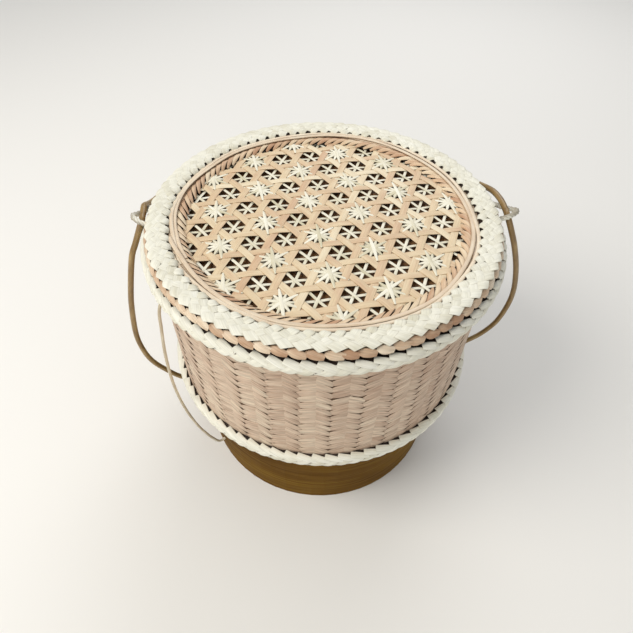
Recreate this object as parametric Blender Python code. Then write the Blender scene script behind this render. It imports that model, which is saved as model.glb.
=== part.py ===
"""Round sticky rice basket: double woven wall, palm stalk foot, openwork star lid and cane handle.

Lengths are in metres and heights are counted from the ground. Every piece is modelled about the
basket's own axis and hangs from one empty, which is placed so that the origin lies on the ground
under the middle of the whole object.
"""

import math

import bmesh
import bpy
from mathutils import Matrix, Vector

# Overall sizes
FOOT_HEIGHT = 0.0709
WALL_HEIGHT = 0.0937
WALL_RADIUS = 0.0875
LID_OVERHANG = 0.0025

# Gaps between pieces
TOUCH_GAP = 0.0003
LID_CLEARANCE = 0.0005
HOLE_CLEARANCE = 0.0005
EYE_CLEARANCE = 0.0004

# Body walls and floor
WALL_THICKNESS = 0.0012
LINER_THICKNESS = 0.0013
FLOOR_THICKNESS = 0.0022

# Foot of bent palm stalk
FOOT_INSET = 0.0065
FOOT_TAPER = 0.0027
FOOT_THICKNESS = 0.0045
SCARF_LENGTH = 0.016
SCARF_SLIT = 0.0004
SCARF_PEG_RADIUS = 0.0015
SCARF_PEG_HEIGHTS = (0.020, 0.050)

# Crossed slats under the floor
SLAT_WIDTH = 0.014
SLAT_THICKNESS = 0.0030
SLAT_SEAT_DEPTH = 0.0028
STITCH_RADIUS = 0.0008
STITCH_DISTANCE = 0.040

# Braids and the hoops inside them
BASE_BRAID_OUT = 0.0035
BASE_BRAID_HEIGHT = 0.0095
BASE_HOOP_WIDTH = 0.0014
RIM_BRAID_OUT = 0.0057
RIM_BRAID_HEIGHT = 0.0076
RIM_HOOP_WIDTH = 0.0020
RIM_LIP = 0.0012
BRAID_SKIN = 0.0009
BRAID_ROUND = 0.0012

# Lid
LID_COLLAR_THICKNESS = 0.0013
LID_COLLAR_DEPTH = 0.0240
BROWN_BRAID_HEIGHT = 0.0040
LID_HOOP_WIDTH = 0.0024
LID_HOOP_HEIGHT = 0.0020
TOP_BRAID_WIDTH = 0.0122
TOP_BRAID_THICKNESS = 0.0020
TOP_BRAID_ROUND = 0.0013
PANEL_THICKNESS = 0.0012
PANEL_SINK = 0.0025
LINING_THICKNESS = 0.0009
LINING_GAP = 0.0016
WRAPPED_BAND_THICKNESS = 0.0007
TWISTED_BAND_WIDTH = 0.0040
TWISTED_BAND_THICKNESS = 0.0018
FLAT_HOOP_WIDTH = 0.0021
FLAT_HOOP_CLEARANCE = 0.0004
FLAT_HOOP_THICKNESS = 0.0008
FLAT_HOOP_END_GAP = math.radians(4.0)

# Star weave of the lid's panel
STAR_SPACING = 0.0281
STAR_TURN = math.radians(-21.4)
STAR_CENTRE = (-0.0076, 0.0135)
STRIP_WIDTH = 0.0036

# Cane handle, its two eyes and the thin stay
CANE_RADIUS = 0.0016
STAY_RADIUS = 0.00095
EYE_CORD_RADIUS = 0.0016
EYE_HALF_LENGTH = 0.0105
EYE_LEFT_TURN = math.radians(178.3)
EYE_LEFT_SLACK = 0.0006
EYE_RIGHT_TURN = math.radians(3.9)
EYE_RIGHT_SLACK = 0.0036
HINGE_SETBACK = 0.0044
HINGE_HALF_GAP = 0.00015
THREADING_CLEARANCE = 0.0009
THREADING_RUN = 0.0072
ARCH_CROWN_DROP = 0.0115
HANDLE_HOLE_HEIGHT = 0.0350
HANDLE_HOLE_TURN = math.radians(5.0)
STAY_HOLE_HEIGHT = 0.0180
STAY_TURN = math.radians(214.0)
KNOT_RADIUS = 0.0034
KNOT_LENGTH = 0.0050
STAY_KNOT_RADIUS = 0.00238
STAY_KNOT_LENGTH = 0.0035
HOLE_LEAD = 0.0040

# Each cane's own bow: share of the way down from eye to foot, distance out from the straight line,
# and degrees about the basket's axis away from that line
LEFT_BOW = (
    (0.070, 0.0042, 6.2),
    (0.130, 0.0075, 7.0),
    (0.290, 0.0156, 5.7),
    (0.420, 0.0199, 4.7),
    (0.600, 0.0236, 3.3),
    (0.730, 0.0233, 2.2),
    (0.820, 0.0205, 1.5),
    (0.905, 0.0146, 0.8),
    (0.955, 0.0100, 0.4),
    (0.985, 0.0045, 0.0),
)
RIGHT_BOW = (
    (0.065, 0.0052, -4.5),
    (0.150, 0.0127, -4.4),
    (0.280, 0.0207, -3.7),
    (0.425, 0.0271, -2.9),
    (0.545, 0.0295, -2.3),
    (0.670, 0.0300, -1.7),
    (0.745, 0.0284, -1.3),
    (0.815, 0.0237, -0.9),
    (0.860, 0.0180, -0.7),
    (0.915, 0.0112, -0.4),
    (0.965, 0.0055, -0.1),
)
STAY_BOW = (
    (0.060, 0.0030, 0.0),
    (0.130, 0.0050, 0.0),
    (0.250, 0.0087, 0.0),
    (0.380, 0.0113, 0.0),
    (0.500, 0.0120, 0.0),
    (0.640, 0.0122, 0.0),
    (0.780, 0.0112, 0.0),
    (0.880, 0.0092, 0.0),
    (0.945, 0.0060, 0.0),
)

# The arch behind the eyes: distance behind the hinge line, and height above it
ARCH_FALL = (
    (0.0095, 0.0042),
    (0.0120, 0.0040),
    (0.0150, 0.0026),
    (0.0200, 0.0004),
    (0.0260, -0.0014),
    (0.0340, -0.0030),
)

# Fineness of round shapes
RING_STEPS = 60
FLAT_HOOP_STEPS = 48
CORNER_STEPS = 1
CANE_SIDES = 2
CANE_STEP = 0.0065
THREADING_STEP = 0.0018
ARCH_KNOTS = 12
EYE_POINTS = 13

# Sizes that follow from those above
LID_RADIUS = WALL_RADIUS + LID_OVERHANG
FOOT_TOP_RADIUS = WALL_RADIUS - FOOT_INSET
FOOT_BOTTOM_RADIUS = FOOT_TOP_RADIUS - FOOT_TAPER
FLOOR_TOP = FOOT_HEIGHT + TOUCH_GAP + FLOOR_THICKNESS
WALL_BOTTOM = FOOT_HEIGHT + TOUCH_GAP
WALL_TOP = WALL_BOTTOM + WALL_HEIGHT
SEAM_HEIGHT = WALL_TOP + TOUCH_GAP + RIM_LIP
LINER_OUTER = WALL_RADIUS - WALL_THICKNESS - TOUCH_GAP
LINER_INNER = LINER_OUTER - LINER_THICKNESS
COLLAR_OUTER = LINER_INNER - LID_CLEARANCE
COLLAR_INNER = COLLAR_OUTER - LID_COLLAR_THICKNESS
LID_FIT_RADIUS = COLLAR_INNER - TOUCH_GAP
BROWN_BRAID_BOTTOM = SEAM_HEIGHT + TOUCH_GAP
BROWN_BRAID_TOP = BROWN_BRAID_BOTTOM + BROWN_BRAID_HEIGHT
TOP_BRAID_BOTTOM = BROWN_BRAID_TOP + TOUCH_GAP
TOP_BRAID_INNER = LID_RADIUS - TOP_BRAID_WIDTH
PANEL_TOP = TOP_BRAID_BOTTOM - PANEL_SINK
WRAPPED_BAND_BOTTOM = PANEL_TOP + TOUCH_GAP
OUTER_HOOP_INNER = TOP_BRAID_INNER - FLAT_HOOP_CLEARANCE - FLAT_HOOP_WIDTH
WRAPPED_BAND_INNER = OUTER_HOOP_INNER - TOUCH_GAP
TWISTED_BAND_OUTER = WRAPPED_BAND_INNER - TOUCH_GAP
TWISTED_BAND_INNER = TWISTED_BAND_OUTER - TWISTED_BAND_WIDTH
RIM_BRAID_RADIUS = WALL_RADIUS + RIM_BRAID_OUT
BASE_BRAID_RADIUS = WALL_RADIUS + BASE_BRAID_OUT
EYE_HEIGHT = SEAM_HEIGHT + EYE_CORD_RADIUS + EYE_CLEARANCE
HINGE_RADIUS = RIM_BRAID_RADIUS + TOUCH_GAP + CANE_RADIUS + HOLE_CLEARANCE
EYE_LEAST_REACH = HINGE_RADIUS + CANE_RADIUS + EYE_CORD_RADIUS - LID_RADIUS
THREADING_RISE = CANE_RADIUS + EYE_CORD_RADIUS + THREADING_CLEARANCE
ARCH_BACK = HINGE_RADIUS
SLAT_TOP = FOOT_HEIGHT - TOUCH_GAP
SLAT_BOTTOM = SLAT_TOP - SLAT_THICKNESS


def clear_scene() -> None:
    """Remove whatever the file holds before modelling."""
    for thing in list(bpy.data.objects):
        bpy.data.objects.remove(thing, do_unlink=True)


def finish(name: str, colour: tuple, roughness: float) -> bpy.types.Material:
    """Plain material with the piece's own colour."""
    material = bpy.data.materials.new(name)
    material.use_nodes = True
    shader = material.node_tree.nodes["Principled BSDF"]
    shader.inputs["Base Color"].default_value = (*colour, 1.0)
    shader.inputs["Roughness"].default_value = roughness
    shader.inputs["Metallic"].default_value = 0.0
    return material


def place(piece: bpy.types.Object, axis: bpy.types.Object, material: bpy.types.Material) -> None:
    """Link a piece, give it its material and hang it from the basket's axis."""
    bpy.context.scene.collection.objects.link(piece)
    piece.data.materials.append(material)
    piece.parent = axis


def mesh_piece(name: str, shape: bmesh.types.BMesh, axis, material) -> bpy.types.Object:
    """Turn a finished bmesh into a named object with smooth round faces."""
    bmesh.ops.recalc_face_normals(shape, faces=shape.faces)
    mesh = bpy.data.meshes.new(name)
    shape.to_mesh(mesh)
    shape.free()
    mesh.shade_smooth()
    mesh.set_sharp_from_angle(angle=math.radians(35.0))
    piece = bpy.data.objects.new(name, mesh)
    place(piece, axis, material)
    return piece


def rounded(corners: list, radius: float) -> list:
    """Outline with each marked corner eased by a few short sides.

    A corner is (x, y, True) where it is rounded and (x, y, False) where it stays sharp.
    """
    outline = []
    count = len(corners)
    for index, (x, y, soft) in enumerate(corners):
        corner = Vector((x, y))
        if not soft:
            outline.append(corner)
            continue
        before = Vector(corners[index - 1][:2]) - corner
        after = Vector(corners[(index + 1) % count][:2]) - corner
        reach = min(radius, 0.45 * before.length, 0.45 * after.length)
        start = corner + before.normalized() * reach
        end = corner + after.normalized() * reach
        for step in range(CORNER_STEPS + 1):
            share = step / CORNER_STEPS
            outline.append(start.lerp(corner, share).lerp(corner.lerp(end, share), share))
    return outline


def turned(name: str, corners: list, radius: float, steps: int, axis, material):
    """Ring spun from an outline of (distance from axis, height, rounded) corners."""
    shape = bmesh.new()
    points = [shape.verts.new((x, 0.0, z)) for x, z in rounded(corners, radius)]
    edges = [shape.edges.new((points[i - 1], points[i])) for i in range(len(points))]
    bmesh.ops.spin(
        shape,
        geom=points + edges,
        cent=(0.0, 0.0, 0.0),
        axis=(0.0, 0.0, 1.0),
        angle=math.tau,
        steps=steps,
        use_merge=True,
    )
    bmesh.ops.remove_doubles(shape, verts=shape.verts, dist=1e-6)
    return mesh_piece(name, shape, axis, material)


def flat_ring(name: str, inner: float, outer: float, low: float, high: float, steps, axis, material):
    """Ring with a plain rectangular section."""
    corners = [(inner, low, False), (outer, low, False), (outer, high, False), (inner, high, False)]
    return turned(name, corners, 0.0, steps, axis, material)


def disc(name: str, radius: float, low: float, high: float, steps: int, axis, material):
    """Round flat plate."""
    shape = bmesh.new()
    bmesh.ops.create_cone(
        shape,
        cap_ends=True,
        segments=steps,
        radius1=radius,
        radius2=radius,
        depth=high - low,
        matrix=Matrix.Translation((0.0, 0.0, 0.5 * (low + high))),
    )
    return mesh_piece(name, shape, axis, material)


def box(shape: bmesh.types.BMesh, size: tuple, centre: tuple, turn: float = 0.0) -> None:
    """Add a block, turned about the basket's axis after it is moved to its centre."""
    matrix = Matrix.Rotation(turn, 4, "Z") @ Matrix.Translation(centre) @ Matrix.Diagonal((*size, 1.0))
    bmesh.ops.create_cube(shape, size=1.0, matrix=matrix)


def rod(shape: bmesh.types.BMesh, radius: float, near: float, far: float, turn: float, height: float,
        sides: int = 12) -> None:
    """Add a round bar that points away from the basket's axis."""
    matrix = (
        Matrix.Rotation(turn, 4, "Z")
        @ Matrix.Translation((0.5 * (near + far), 0.0, height))
        @ Matrix.Rotation(math.radians(90.0), 4, "Y")
    )
    bmesh.ops.create_cone(
        shape, cap_ends=True, segments=sides, radius1=radius, radius2=radius, depth=far - near, matrix=matrix
    )


def cutter(name: str, shape: bmesh.types.BMesh, axis) -> bpy.types.Object:
    """Hidden shape that is only there to be taken out of another."""
    bmesh.ops.recalc_face_normals(shape, faces=shape.faces)
    mesh = bpy.data.meshes.new(name)
    shape.to_mesh(mesh)
    shape.free()
    piece = bpy.data.objects.new(name, mesh)
    bpy.context.scene.collection.objects.link(piece)
    piece.parent = axis
    piece.hide_render = True
    piece.display_type = "WIRE"
    return piece


def cut(piece: bpy.types.Object, tool: bpy.types.Object) -> None:
    """Take the tool's shape out of the piece."""
    step = piece.modifiers.new(tool.name, "BOOLEAN")
    step.operation = "DIFFERENCE"
    step.solver = "EXACT"
    step.object = tool


def around(radius: float, turn: float, height: float) -> Vector:
    """Point at a distance from the axis, a turn about it and a height."""
    return Vector((radius * math.cos(turn), radius * math.sin(turn), height))


def smooth_route(knots: list, near: float = 0.0) -> list:
    """Points on a smooth curve through the knots, set closer together over the first stretch."""
    ends = [knots[0] * 2.0 - knots[1]] + knots + [knots[-1] * 2.0 - knots[-2]]
    fine = []
    for before, start, end, after in zip(ends, ends[1:], ends[2:], ends[3:]):
        for step in range(24):
            t = step / 24
            fine.append(
                0.5 * (
                    2.0 * start
                    + (end - before) * t
                    + (2.0 * before - 5.0 * start + 4.0 * end - after) * t ** 2
                    + (3.0 * start - before - 3.0 * end + after) * t ** 3
                )
            )
    fine.append(knots[-1].copy())
    lengths = [0.0]
    for start, end in zip(fine, fine[1:]):
        lengths.append(lengths[-1] + (end - start).length)
    close_steps = round(near / THREADING_STEP)
    wide_steps = math.ceil((lengths[-1] - near) / CANE_STEP)
    wanted = [near * step / close_steps for step in range(close_steps)]
    wanted += [near + (lengths[-1] - near) * step / wide_steps for step in range(wide_steps + 1)]
    route = []
    segment = 0
    for distance in wanted:
        while segment < len(fine) - 2 and lengths[segment + 1] < distance:
            segment += 1
        span = lengths[segment + 1] - lengths[segment]
        share = 0.0 if span == 0.0 else (distance - lengths[segment]) / span
        route.append(fine[segment].lerp(fine[segment + 1], share))
    return route


def tube(name: str, route: list, radius: float, axis, material) -> bpy.types.Object:
    """Round cane along a route, with closed ends."""
    curve = bpy.data.curves.new(name, "CURVE")
    curve.dimensions = "3D"
    curve.bevel_depth = radius
    curve.bevel_resolution = CANE_SIDES
    curve.use_fill_caps = True
    curve.resolution_u = 1
    curve.render_resolution_u = 0
    spline = curve.splines.new("POLY")
    spline.points.add(len(route) - 1)
    for point, place_at in zip(spline.points, route):
        point.co = (*place_at, 1.0)
        point.radius = 1.0
    piece = bpy.data.objects.new(name, curve)
    place(piece, axis, material)
    return piece


def threading(along: float) -> float:
    """Height of the cane above its hinge point, at a distance behind it along the basket's side."""
    share = max(-1.0, min(1.0, along / THREADING_RUN))
    return THREADING_RISE * math.sin(0.5 * math.pi * share)


def threading_stations() -> list:
    """Distances from the hinge point at which the cane's climb through an eye is set."""
    return [HINGE_HALF_GAP] + [THREADING_RUN * share for share in (0.25, 0.5, 0.75)]


def bowed_knots(start: Vector, through: Vector, bow: tuple) -> list:
    """Knots of a bent cane between its upper end and the point outside the hole that it goes into."""
    start_turn = math.atan2(start.y, start.x) % math.tau
    through_turn = math.atan2(through.y, through.x) % math.tau
    swing = (through_turn - start_turn + math.pi) % math.tau - math.pi
    start_radius = math.hypot(start.x, start.y)
    through_radius = math.hypot(through.x, through.y)
    knots = []
    for share, out, turn in bow:
        radius = start_radius + (through_radius - start_radius) * share + out
        height = start.z + (through.z - start.z) * share
        knots.append(around(radius, start_turn + swing * share + math.radians(turn), height))
    return knots + [through]


def foot_radius(height: float) -> float:
    """Outside of the foot at a height."""
    return FOOT_BOTTOM_RADIUS + (FOOT_TOP_RADIUS - FOOT_BOTTOM_RADIUS) * height / FOOT_HEIGHT


def foot_point(turn: float, height: float, out: float = 0.0) -> Vector:
    """Point on the outside of the foot, or beyond it."""
    return around(foot_radius(height) + out, turn, height)


def build_foot(axis, stalk, slat, cane) -> None:
    """Palm stalk ring with its scarf joint, pegs and holes, then what it carries."""
    corners = [
        (FOOT_BOTTOM_RADIUS - FOOT_THICKNESS, 0.0, False),
        (FOOT_BOTTOM_RADIUS, 0.0, False),
        (FOOT_TOP_RADIUS, FOOT_HEIGHT, False),
        (FOOT_TOP_RADIUS - FOOT_THICKNESS, FOOT_HEIGHT, False),
    ]
    ring = turned("foot_ring", corners, 0.0, RING_STEPS, axis, stalk)

    scarf_middle = 0.5 * (FOOT_TOP_RADIUS + FOOT_BOTTOM_RADIUS - FOOT_THICKNESS)
    scarf_slant = math.atan2(FOOT_THICKNESS, SCARF_LENGTH)
    foot_slope = math.atan2(FOOT_TOP_RADIUS - FOOT_BOTTOM_RADIUS, FOOT_HEIGHT)
    slit = bmesh.new()
    matrix = (
        Matrix.Translation((0.0, scarf_middle, 0.5 * FOOT_HEIGHT))
        @ Matrix.Rotation(-foot_slope, 4, "X")
        @ Matrix.Rotation(scarf_slant, 4, "Z")
        @ Matrix.Diagonal((2.0 * SCARF_LENGTH, SCARF_SLIT, 2.0 * FOOT_HEIGHT, 1.0))
    )
    bmesh.ops.create_cube(slit, size=1.0, matrix=matrix)
    cut(ring, cutter("scarf_cutter", slit, axis))

    seat_reach = FOOT_TOP_RADIUS - FOOT_THICKNESS + SLAT_SEAT_DEPTH
    seat_size = (
        2.0 * (seat_reach + TOUCH_GAP),
        SLAT_WIDTH + 2.0 * TOUCH_GAP,
        SLAT_THICKNESS + 3.0 * TOUCH_GAP,
    )
    for turn in (0.0, 0.5 * math.pi):
        seats = bmesh.new()
        box(seats, seat_size, (0.0, 0.0, SLAT_BOTTOM - TOUCH_GAP + 0.5 * seat_size[2]), turn)
        cut(ring, cutter("slat_seat_cutter", seats, axis))

    holes = bmesh.new()
    for turn in (HANDLE_HOLE_TURN, HANDLE_HOLE_TURN + math.pi):
        rod(holes, CANE_RADIUS + HOLE_CLEARANCE, 0.8 * FOOT_BOTTOM_RADIUS, 1.1 * FOOT_TOP_RADIUS, turn,
            HANDLE_HOLE_HEIGHT)
    rod(holes, STAY_RADIUS + HOLE_CLEARANCE, 0.8 * FOOT_BOTTOM_RADIUS, 1.1 * FOOT_TOP_RADIUS, STAY_TURN,
        STAY_HOLE_HEIGHT)
    for height in SCARF_PEG_HEIGHTS:
        rod(holes, SCARF_PEG_RADIUS + TOUCH_GAP, 0.8 * FOOT_BOTTOM_RADIUS, 1.1 * FOOT_TOP_RADIUS,
            0.5 * math.pi, height)
    cut(ring, cutter("foot_hole_cutter", holes, axis))

    for name, height in zip(("foot_scarf_peg_lower", "foot_scarf_peg_upper"), SCARF_PEG_HEIGHTS):
        peg = bmesh.new()
        outside = foot_radius(height)
        rod(peg, SCARF_PEG_RADIUS, outside - FOOT_THICKNESS, outside, 0.5 * math.pi, height)
        mesh_piece(name, peg, axis, slat)

    build_slats(axis, slat, seat_reach)
    build_floor(axis, slat, cane)


def build_slats(axis, slat, seat_reach: float) -> None:
    """Two slats that cross under the floor, each notched to half its thickness at the middle."""
    middle = 0.5 * (SLAT_TOP + SLAT_BOTTOM)
    for name, turn, side in (("cross_slat_side", 0.0, 1.0), ("cross_slat_front", 0.5 * math.pi, -1.0)):
        shape = bmesh.new()
        box(shape, (2.0 * seat_reach - 2.0 * TOUCH_GAP, SLAT_WIDTH, SLAT_THICKNESS), (0.0, 0.0, middle), turn)
        piece = mesh_piece(name, shape, axis, slat)
        notch = bmesh.new()
        size = (SLAT_WIDTH + 2.0 * TOUCH_GAP, 2.0 * SLAT_WIDTH, SLAT_THICKNESS)
        box(notch, size, (0.0, 0.0, middle + side * (0.5 * SLAT_THICKNESS - 0.5 * TOUCH_GAP)), turn)
        cut(piece, cutter(f"{name}_notch_cutter", notch, axis))


def build_floor(axis, slat, cane) -> None:
    """Woven floor plate, sewn to the slats by four cane stitches that go through it."""
    floor_radius = LINER_INNER - TOUCH_GAP
    floor = disc("floor_weave", floor_radius, FLOOR_TOP - FLOOR_THICKNESS, FLOOR_TOP, RING_STEPS, axis, slat)
    half = 0.5 * SLAT_WIDTH + TOUCH_GAP + STITCH_RADIUS
    low = SLAT_BOTTOM - TOUCH_GAP - STITCH_RADIUS
    high = FLOOR_TOP + TOUCH_GAP + STITCH_RADIUS
    needle = bmesh.new()
    hole_radius = STITCH_RADIUS + TOUCH_GAP
    for number in range(4):
        turn = number * 0.5 * math.pi
        for side in (-half, half):
            spot = Matrix.Rotation(turn, 4, "Z") @ Matrix.Translation((STITCH_DISTANCE, side, FLOOR_TOP))
            bmesh.ops.create_cone(
                needle, cap_ends=True, segments=8, radius1=hole_radius, radius2=hole_radius,
                depth=4.0 * FLOOR_THICKNESS, matrix=spot,
            )
        stitch_loop(f"floor_stitch_{number + 1}", turn, half, low, high, axis, cane)
    cut(floor, cutter("stitch_hole_cutter", needle, axis))


def stitch_loop(name: str, turn: float, half: float, low: float, high: float, axis, cane) -> None:
    """Closed loop of thin cane round a slat and the floor above it."""
    frame = bmesh.new()
    outer = STITCH_RADIUS
    matrix = Matrix.Rotation(turn, 4, "Z")
    rings = []
    corners = ((-half, low), (half, low), (half, high), (-half, high))
    for y, z in corners:
        out = Vector((0.0, math.copysign(1.0, y), math.copysign(1.0, z - 0.5 * (low + high))))
        ring = []
        for step in range(6):
            swing = math.tau * step / 6
            offset = Vector((outer * math.sin(swing), 0.0, 0.0)) + out * outer * math.cos(swing)
            ring.append(frame.verts.new(matrix @ (Vector((STITCH_DISTANCE, y, z)) + offset)))
        rings.append(ring)
    for first, second in zip(rings, rings[1:] + rings[:1]):
        for step in range(6):
            frame.faces.new((first[step], first[step - 1], second[step - 1], second[step]))
    mesh_piece(name, frame, axis, cane)


def build_body(axis, brown_strip, pale_strip, hoop) -> None:
    """Outer weave, inner weave, and the braided edges over their hoops."""
    flat_ring("outer_wall", WALL_RADIUS - WALL_THICKNESS, WALL_RADIUS, WALL_BOTTOM, WALL_TOP, RING_STEPS,
              axis, brown_strip)
    flat_ring("inner_wall", LINER_INNER, LINER_OUTER, WALL_BOTTOM, WALL_TOP, RING_STEPS, axis, brown_strip)

    inside = WALL_RADIUS + TOUCH_GAP
    hoop_out = inside + RIM_HOOP_WIDTH + TOUCH_GAP
    low = SEAM_HEIGHT - RIM_BRAID_HEIGHT
    lip = SEAM_HEIGHT - RIM_LIP
    corners = [
        (LINER_INNER, lip, False),
        (hoop_out, lip, False),
        (hoop_out, low + BRAID_SKIN, False),
        (inside, low + BRAID_SKIN, False),
        (inside, low, False),
        (RIM_BRAID_RADIUS, low, True),
        (RIM_BRAID_RADIUS, SEAM_HEIGHT, True),
        (LINER_INNER, SEAM_HEIGHT, False),
    ]
    turned("body_rim_braid", corners, BRAID_ROUND, RING_STEPS, axis, pale_strip)
    flat_ring("body_rim_hoop", inside, hoop_out - TOUCH_GAP, low + BRAID_SKIN + TOUCH_GAP, WALL_TOP,
              RING_STEPS, axis, hoop)

    hoop_out = inside + BASE_HOOP_WIDTH + TOUCH_GAP
    base = FOOT_HEIGHT - BRAID_SKIN
    top = base + BASE_BRAID_HEIGHT
    corners = [
        (FOOT_TOP_RADIUS + TOUCH_GAP, base, False),
        (BASE_BRAID_RADIUS, base, True),
        (BASE_BRAID_RADIUS, top, True),
        (inside, top, False),
        (inside, top - BRAID_SKIN, False),
        (hoop_out, top - BRAID_SKIN, False),
        (hoop_out, FOOT_HEIGHT, False),
        (FOOT_TOP_RADIUS + TOUCH_GAP, FOOT_HEIGHT, False),
    ]
    turned("base_braid", corners, BRAID_ROUND, RING_STEPS, axis, pale_strip)
    flat_ring("base_hoop", inside, hoop_out - TOUCH_GAP, FOOT_HEIGHT + TOUCH_GAP,
              top - BRAID_SKIN - TOUCH_GAP, RING_STEPS, axis, hoop)


def hexagon(shape: bmesh.types.BMesh, centre: Vector, radius: float, low: float, high: float) -> None:
    """Add a six-sided bar with its corners between the lines from star to star."""
    middle = Matrix.Translation((centre.x, centre.y, 0.5 * (low + high)))
    matrix = middle @ Matrix.Rotation(STAR_TURN, 4, "Z")
    bmesh.ops.create_cone(
        shape, cap_ends=True, segments=6, radius1=radius, radius2=radius, depth=high - low, matrix=matrix
    )


def build_panel(axis, material) -> None:
    """Flat panel of strips in three directions, open in a hexagon beside every star."""
    panel = disc("lid_star_panel", LID_FIT_RADIUS, PANEL_TOP - PANEL_THICKNESS, PANEL_TOP, RING_STEPS, axis,
                 material)
    side = Vector((math.cos(STAR_TURN), math.sin(STAR_TURN))) * STAR_SPACING
    slant = Vector((math.cos(STAR_TURN - math.pi / 3), math.sin(STAR_TURN - math.pi / 3))) * STAR_SPACING
    hole_radius = STAR_SPACING / (2.0 * math.sqrt(3.0)) - STRIP_WIDTH / math.sqrt(3.0)
    holes = bmesh.new()
    reach = math.ceil(2.0 * TWISTED_BAND_OUTER / STAR_SPACING) + 1
    for row in range(-reach, reach + 1):
        for column in range(-reach, reach + 1):
            star = Vector(STAR_CENTRE) + side * row + slant * column
            for third in (1.0 / 3.0, 2.0 / 3.0):
                centre = star + (side + slant) * third
                if centre.length + hole_radius < TWISTED_BAND_OUTER:
                    hexagon(holes, centre, hole_radius, PANEL_TOP - 2.0 * PANEL_THICKNESS,
                            PANEL_TOP + PANEL_THICKNESS)
    cut(panel, cutter("panel_hole_cutter", holes, axis))


def flat_hoop(name: str, inner: float, low: float, end_turn: float, axis, material) -> None:
    """Thin flat cane bent round the lid, with its two ends side by side."""
    outer = inner + FLAT_HOOP_WIDTH
    high = low + FLAT_HOOP_THICKNESS
    shape = bmesh.new()
    start = Matrix.Rotation(end_turn + 0.5 * FLAT_HOOP_END_GAP, 4, "Z")
    section = [shape.verts.new(start @ Vector((x, 0.0, z)))
               for x, z in ((inner, low), (outer, low), (outer, high), (inner, high))]
    face = shape.faces.new(section)
    bmesh.ops.spin(
        shape, geom=[face], cent=(0.0, 0.0, 0.0), axis=(0.0, 0.0, 1.0),
        angle=math.tau - FLAT_HOOP_END_GAP, steps=FLAT_HOOP_STEPS,
    )
    mesh_piece(name, shape, axis, material)


def build_lid(axis, brown_strip, pale_strip, panel_strip, hoop, lining) -> None:
    """Panel, lining and collar, held together by two braids and dressed with bands and hoops."""
    flat_ring("lid_collar", COLLAR_INNER, COLLAR_OUTER, SEAM_HEIGHT - LID_COLLAR_DEPTH, BROWN_BRAID_TOP,
              RING_STEPS, axis, lining)
    build_panel(axis, panel_strip)
    lining_top = PANEL_TOP - PANEL_THICKNESS - LINING_GAP
    disc("lid_lining", LID_FIT_RADIUS, lining_top - LINING_THICKNESS, lining_top, RING_STEPS, axis, lining)

    inside = COLLAR_OUTER + TOUCH_GAP
    hoop_out = inside + LID_HOOP_WIDTH + 2.0 * TOUCH_GAP
    middle = 0.5 * (BROWN_BRAID_BOTTOM + BROWN_BRAID_TOP)
    half = 0.5 * LID_HOOP_HEIGHT + TOUCH_GAP
    corners = [
        (inside, BROWN_BRAID_BOTTOM, False),
        (LID_RADIUS, BROWN_BRAID_BOTTOM, True),
        (LID_RADIUS, BROWN_BRAID_TOP, True),
        (inside, BROWN_BRAID_TOP, False),
        (inside, middle + half, False),
        (hoop_out, middle + half, False),
        (hoop_out, middle - half, False),
        (inside, middle - half, False),
    ]
    turned("lid_brown_braid", corners, BRAID_ROUND, RING_STEPS, axis, brown_strip)
    flat_ring("lid_rim_hoop", inside + 0.5 * TOUCH_GAP, hoop_out - TOUCH_GAP, middle - half + TOUCH_GAP,
              middle + half - TOUCH_GAP, RING_STEPS, axis, hoop)

    top = TOP_BRAID_BOTTOM + TOP_BRAID_THICKNESS
    band_gap = WRAPPED_BAND_BOTTOM + WRAPPED_BAND_THICKNESS + TOUCH_GAP
    corners = [
        (TOP_BRAID_INNER, band_gap, False),
        (LID_FIT_RADIUS, band_gap, False),
        (LID_FIT_RADIUS, TOP_BRAID_BOTTOM, False),
        (LID_RADIUS, TOP_BRAID_BOTTOM, False),
        (LID_RADIUS, top, True),
        (TOP_BRAID_INNER, top, True),
    ]
    turned("lid_top_braid", corners, TOP_BRAID_ROUND, RING_STEPS, axis, pale_strip)

    flat_ring("lid_wrapped_band", WRAPPED_BAND_INNER, LID_FIT_RADIUS, WRAPPED_BAND_BOTTOM,
              WRAPPED_BAND_BOTTOM + WRAPPED_BAND_THICKNESS, RING_STEPS, axis, panel_strip)
    band_top = WRAPPED_BAND_BOTTOM + TWISTED_BAND_THICKNESS
    corners = [
        (TWISTED_BAND_INNER, WRAPPED_BAND_BOTTOM, False),
        (TWISTED_BAND_OUTER, WRAPPED_BAND_BOTTOM, False),
        (TWISTED_BAND_OUTER, band_top, True),
        (TWISTED_BAND_INNER, band_top, True),
    ]
    turned("lid_twisted_band", corners, BRAID_SKIN, RING_STEPS, axis, brown_strip)

    flat_hoop("lid_cane_hoop_inner", TWISTED_BAND_INNER + TOUCH_GAP, band_top + TOUCH_GAP,
              math.radians(190.0), axis, hoop)
    flat_hoop("lid_cane_hoop_outer", OUTER_HOOP_INNER,
              WRAPPED_BAND_BOTTOM + WRAPPED_BAND_THICKNESS + TOUCH_GAP, math.radians(160.0), axis, hoop)
    flat_hoop("lid_cane_hoop_middle", TWISTED_BAND_INNER + FLAT_HOOP_WIDTH + 2.0 * TOUCH_GAP,
              band_top + TOUCH_GAP, math.radians(215.0), axis, hoop)


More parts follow.
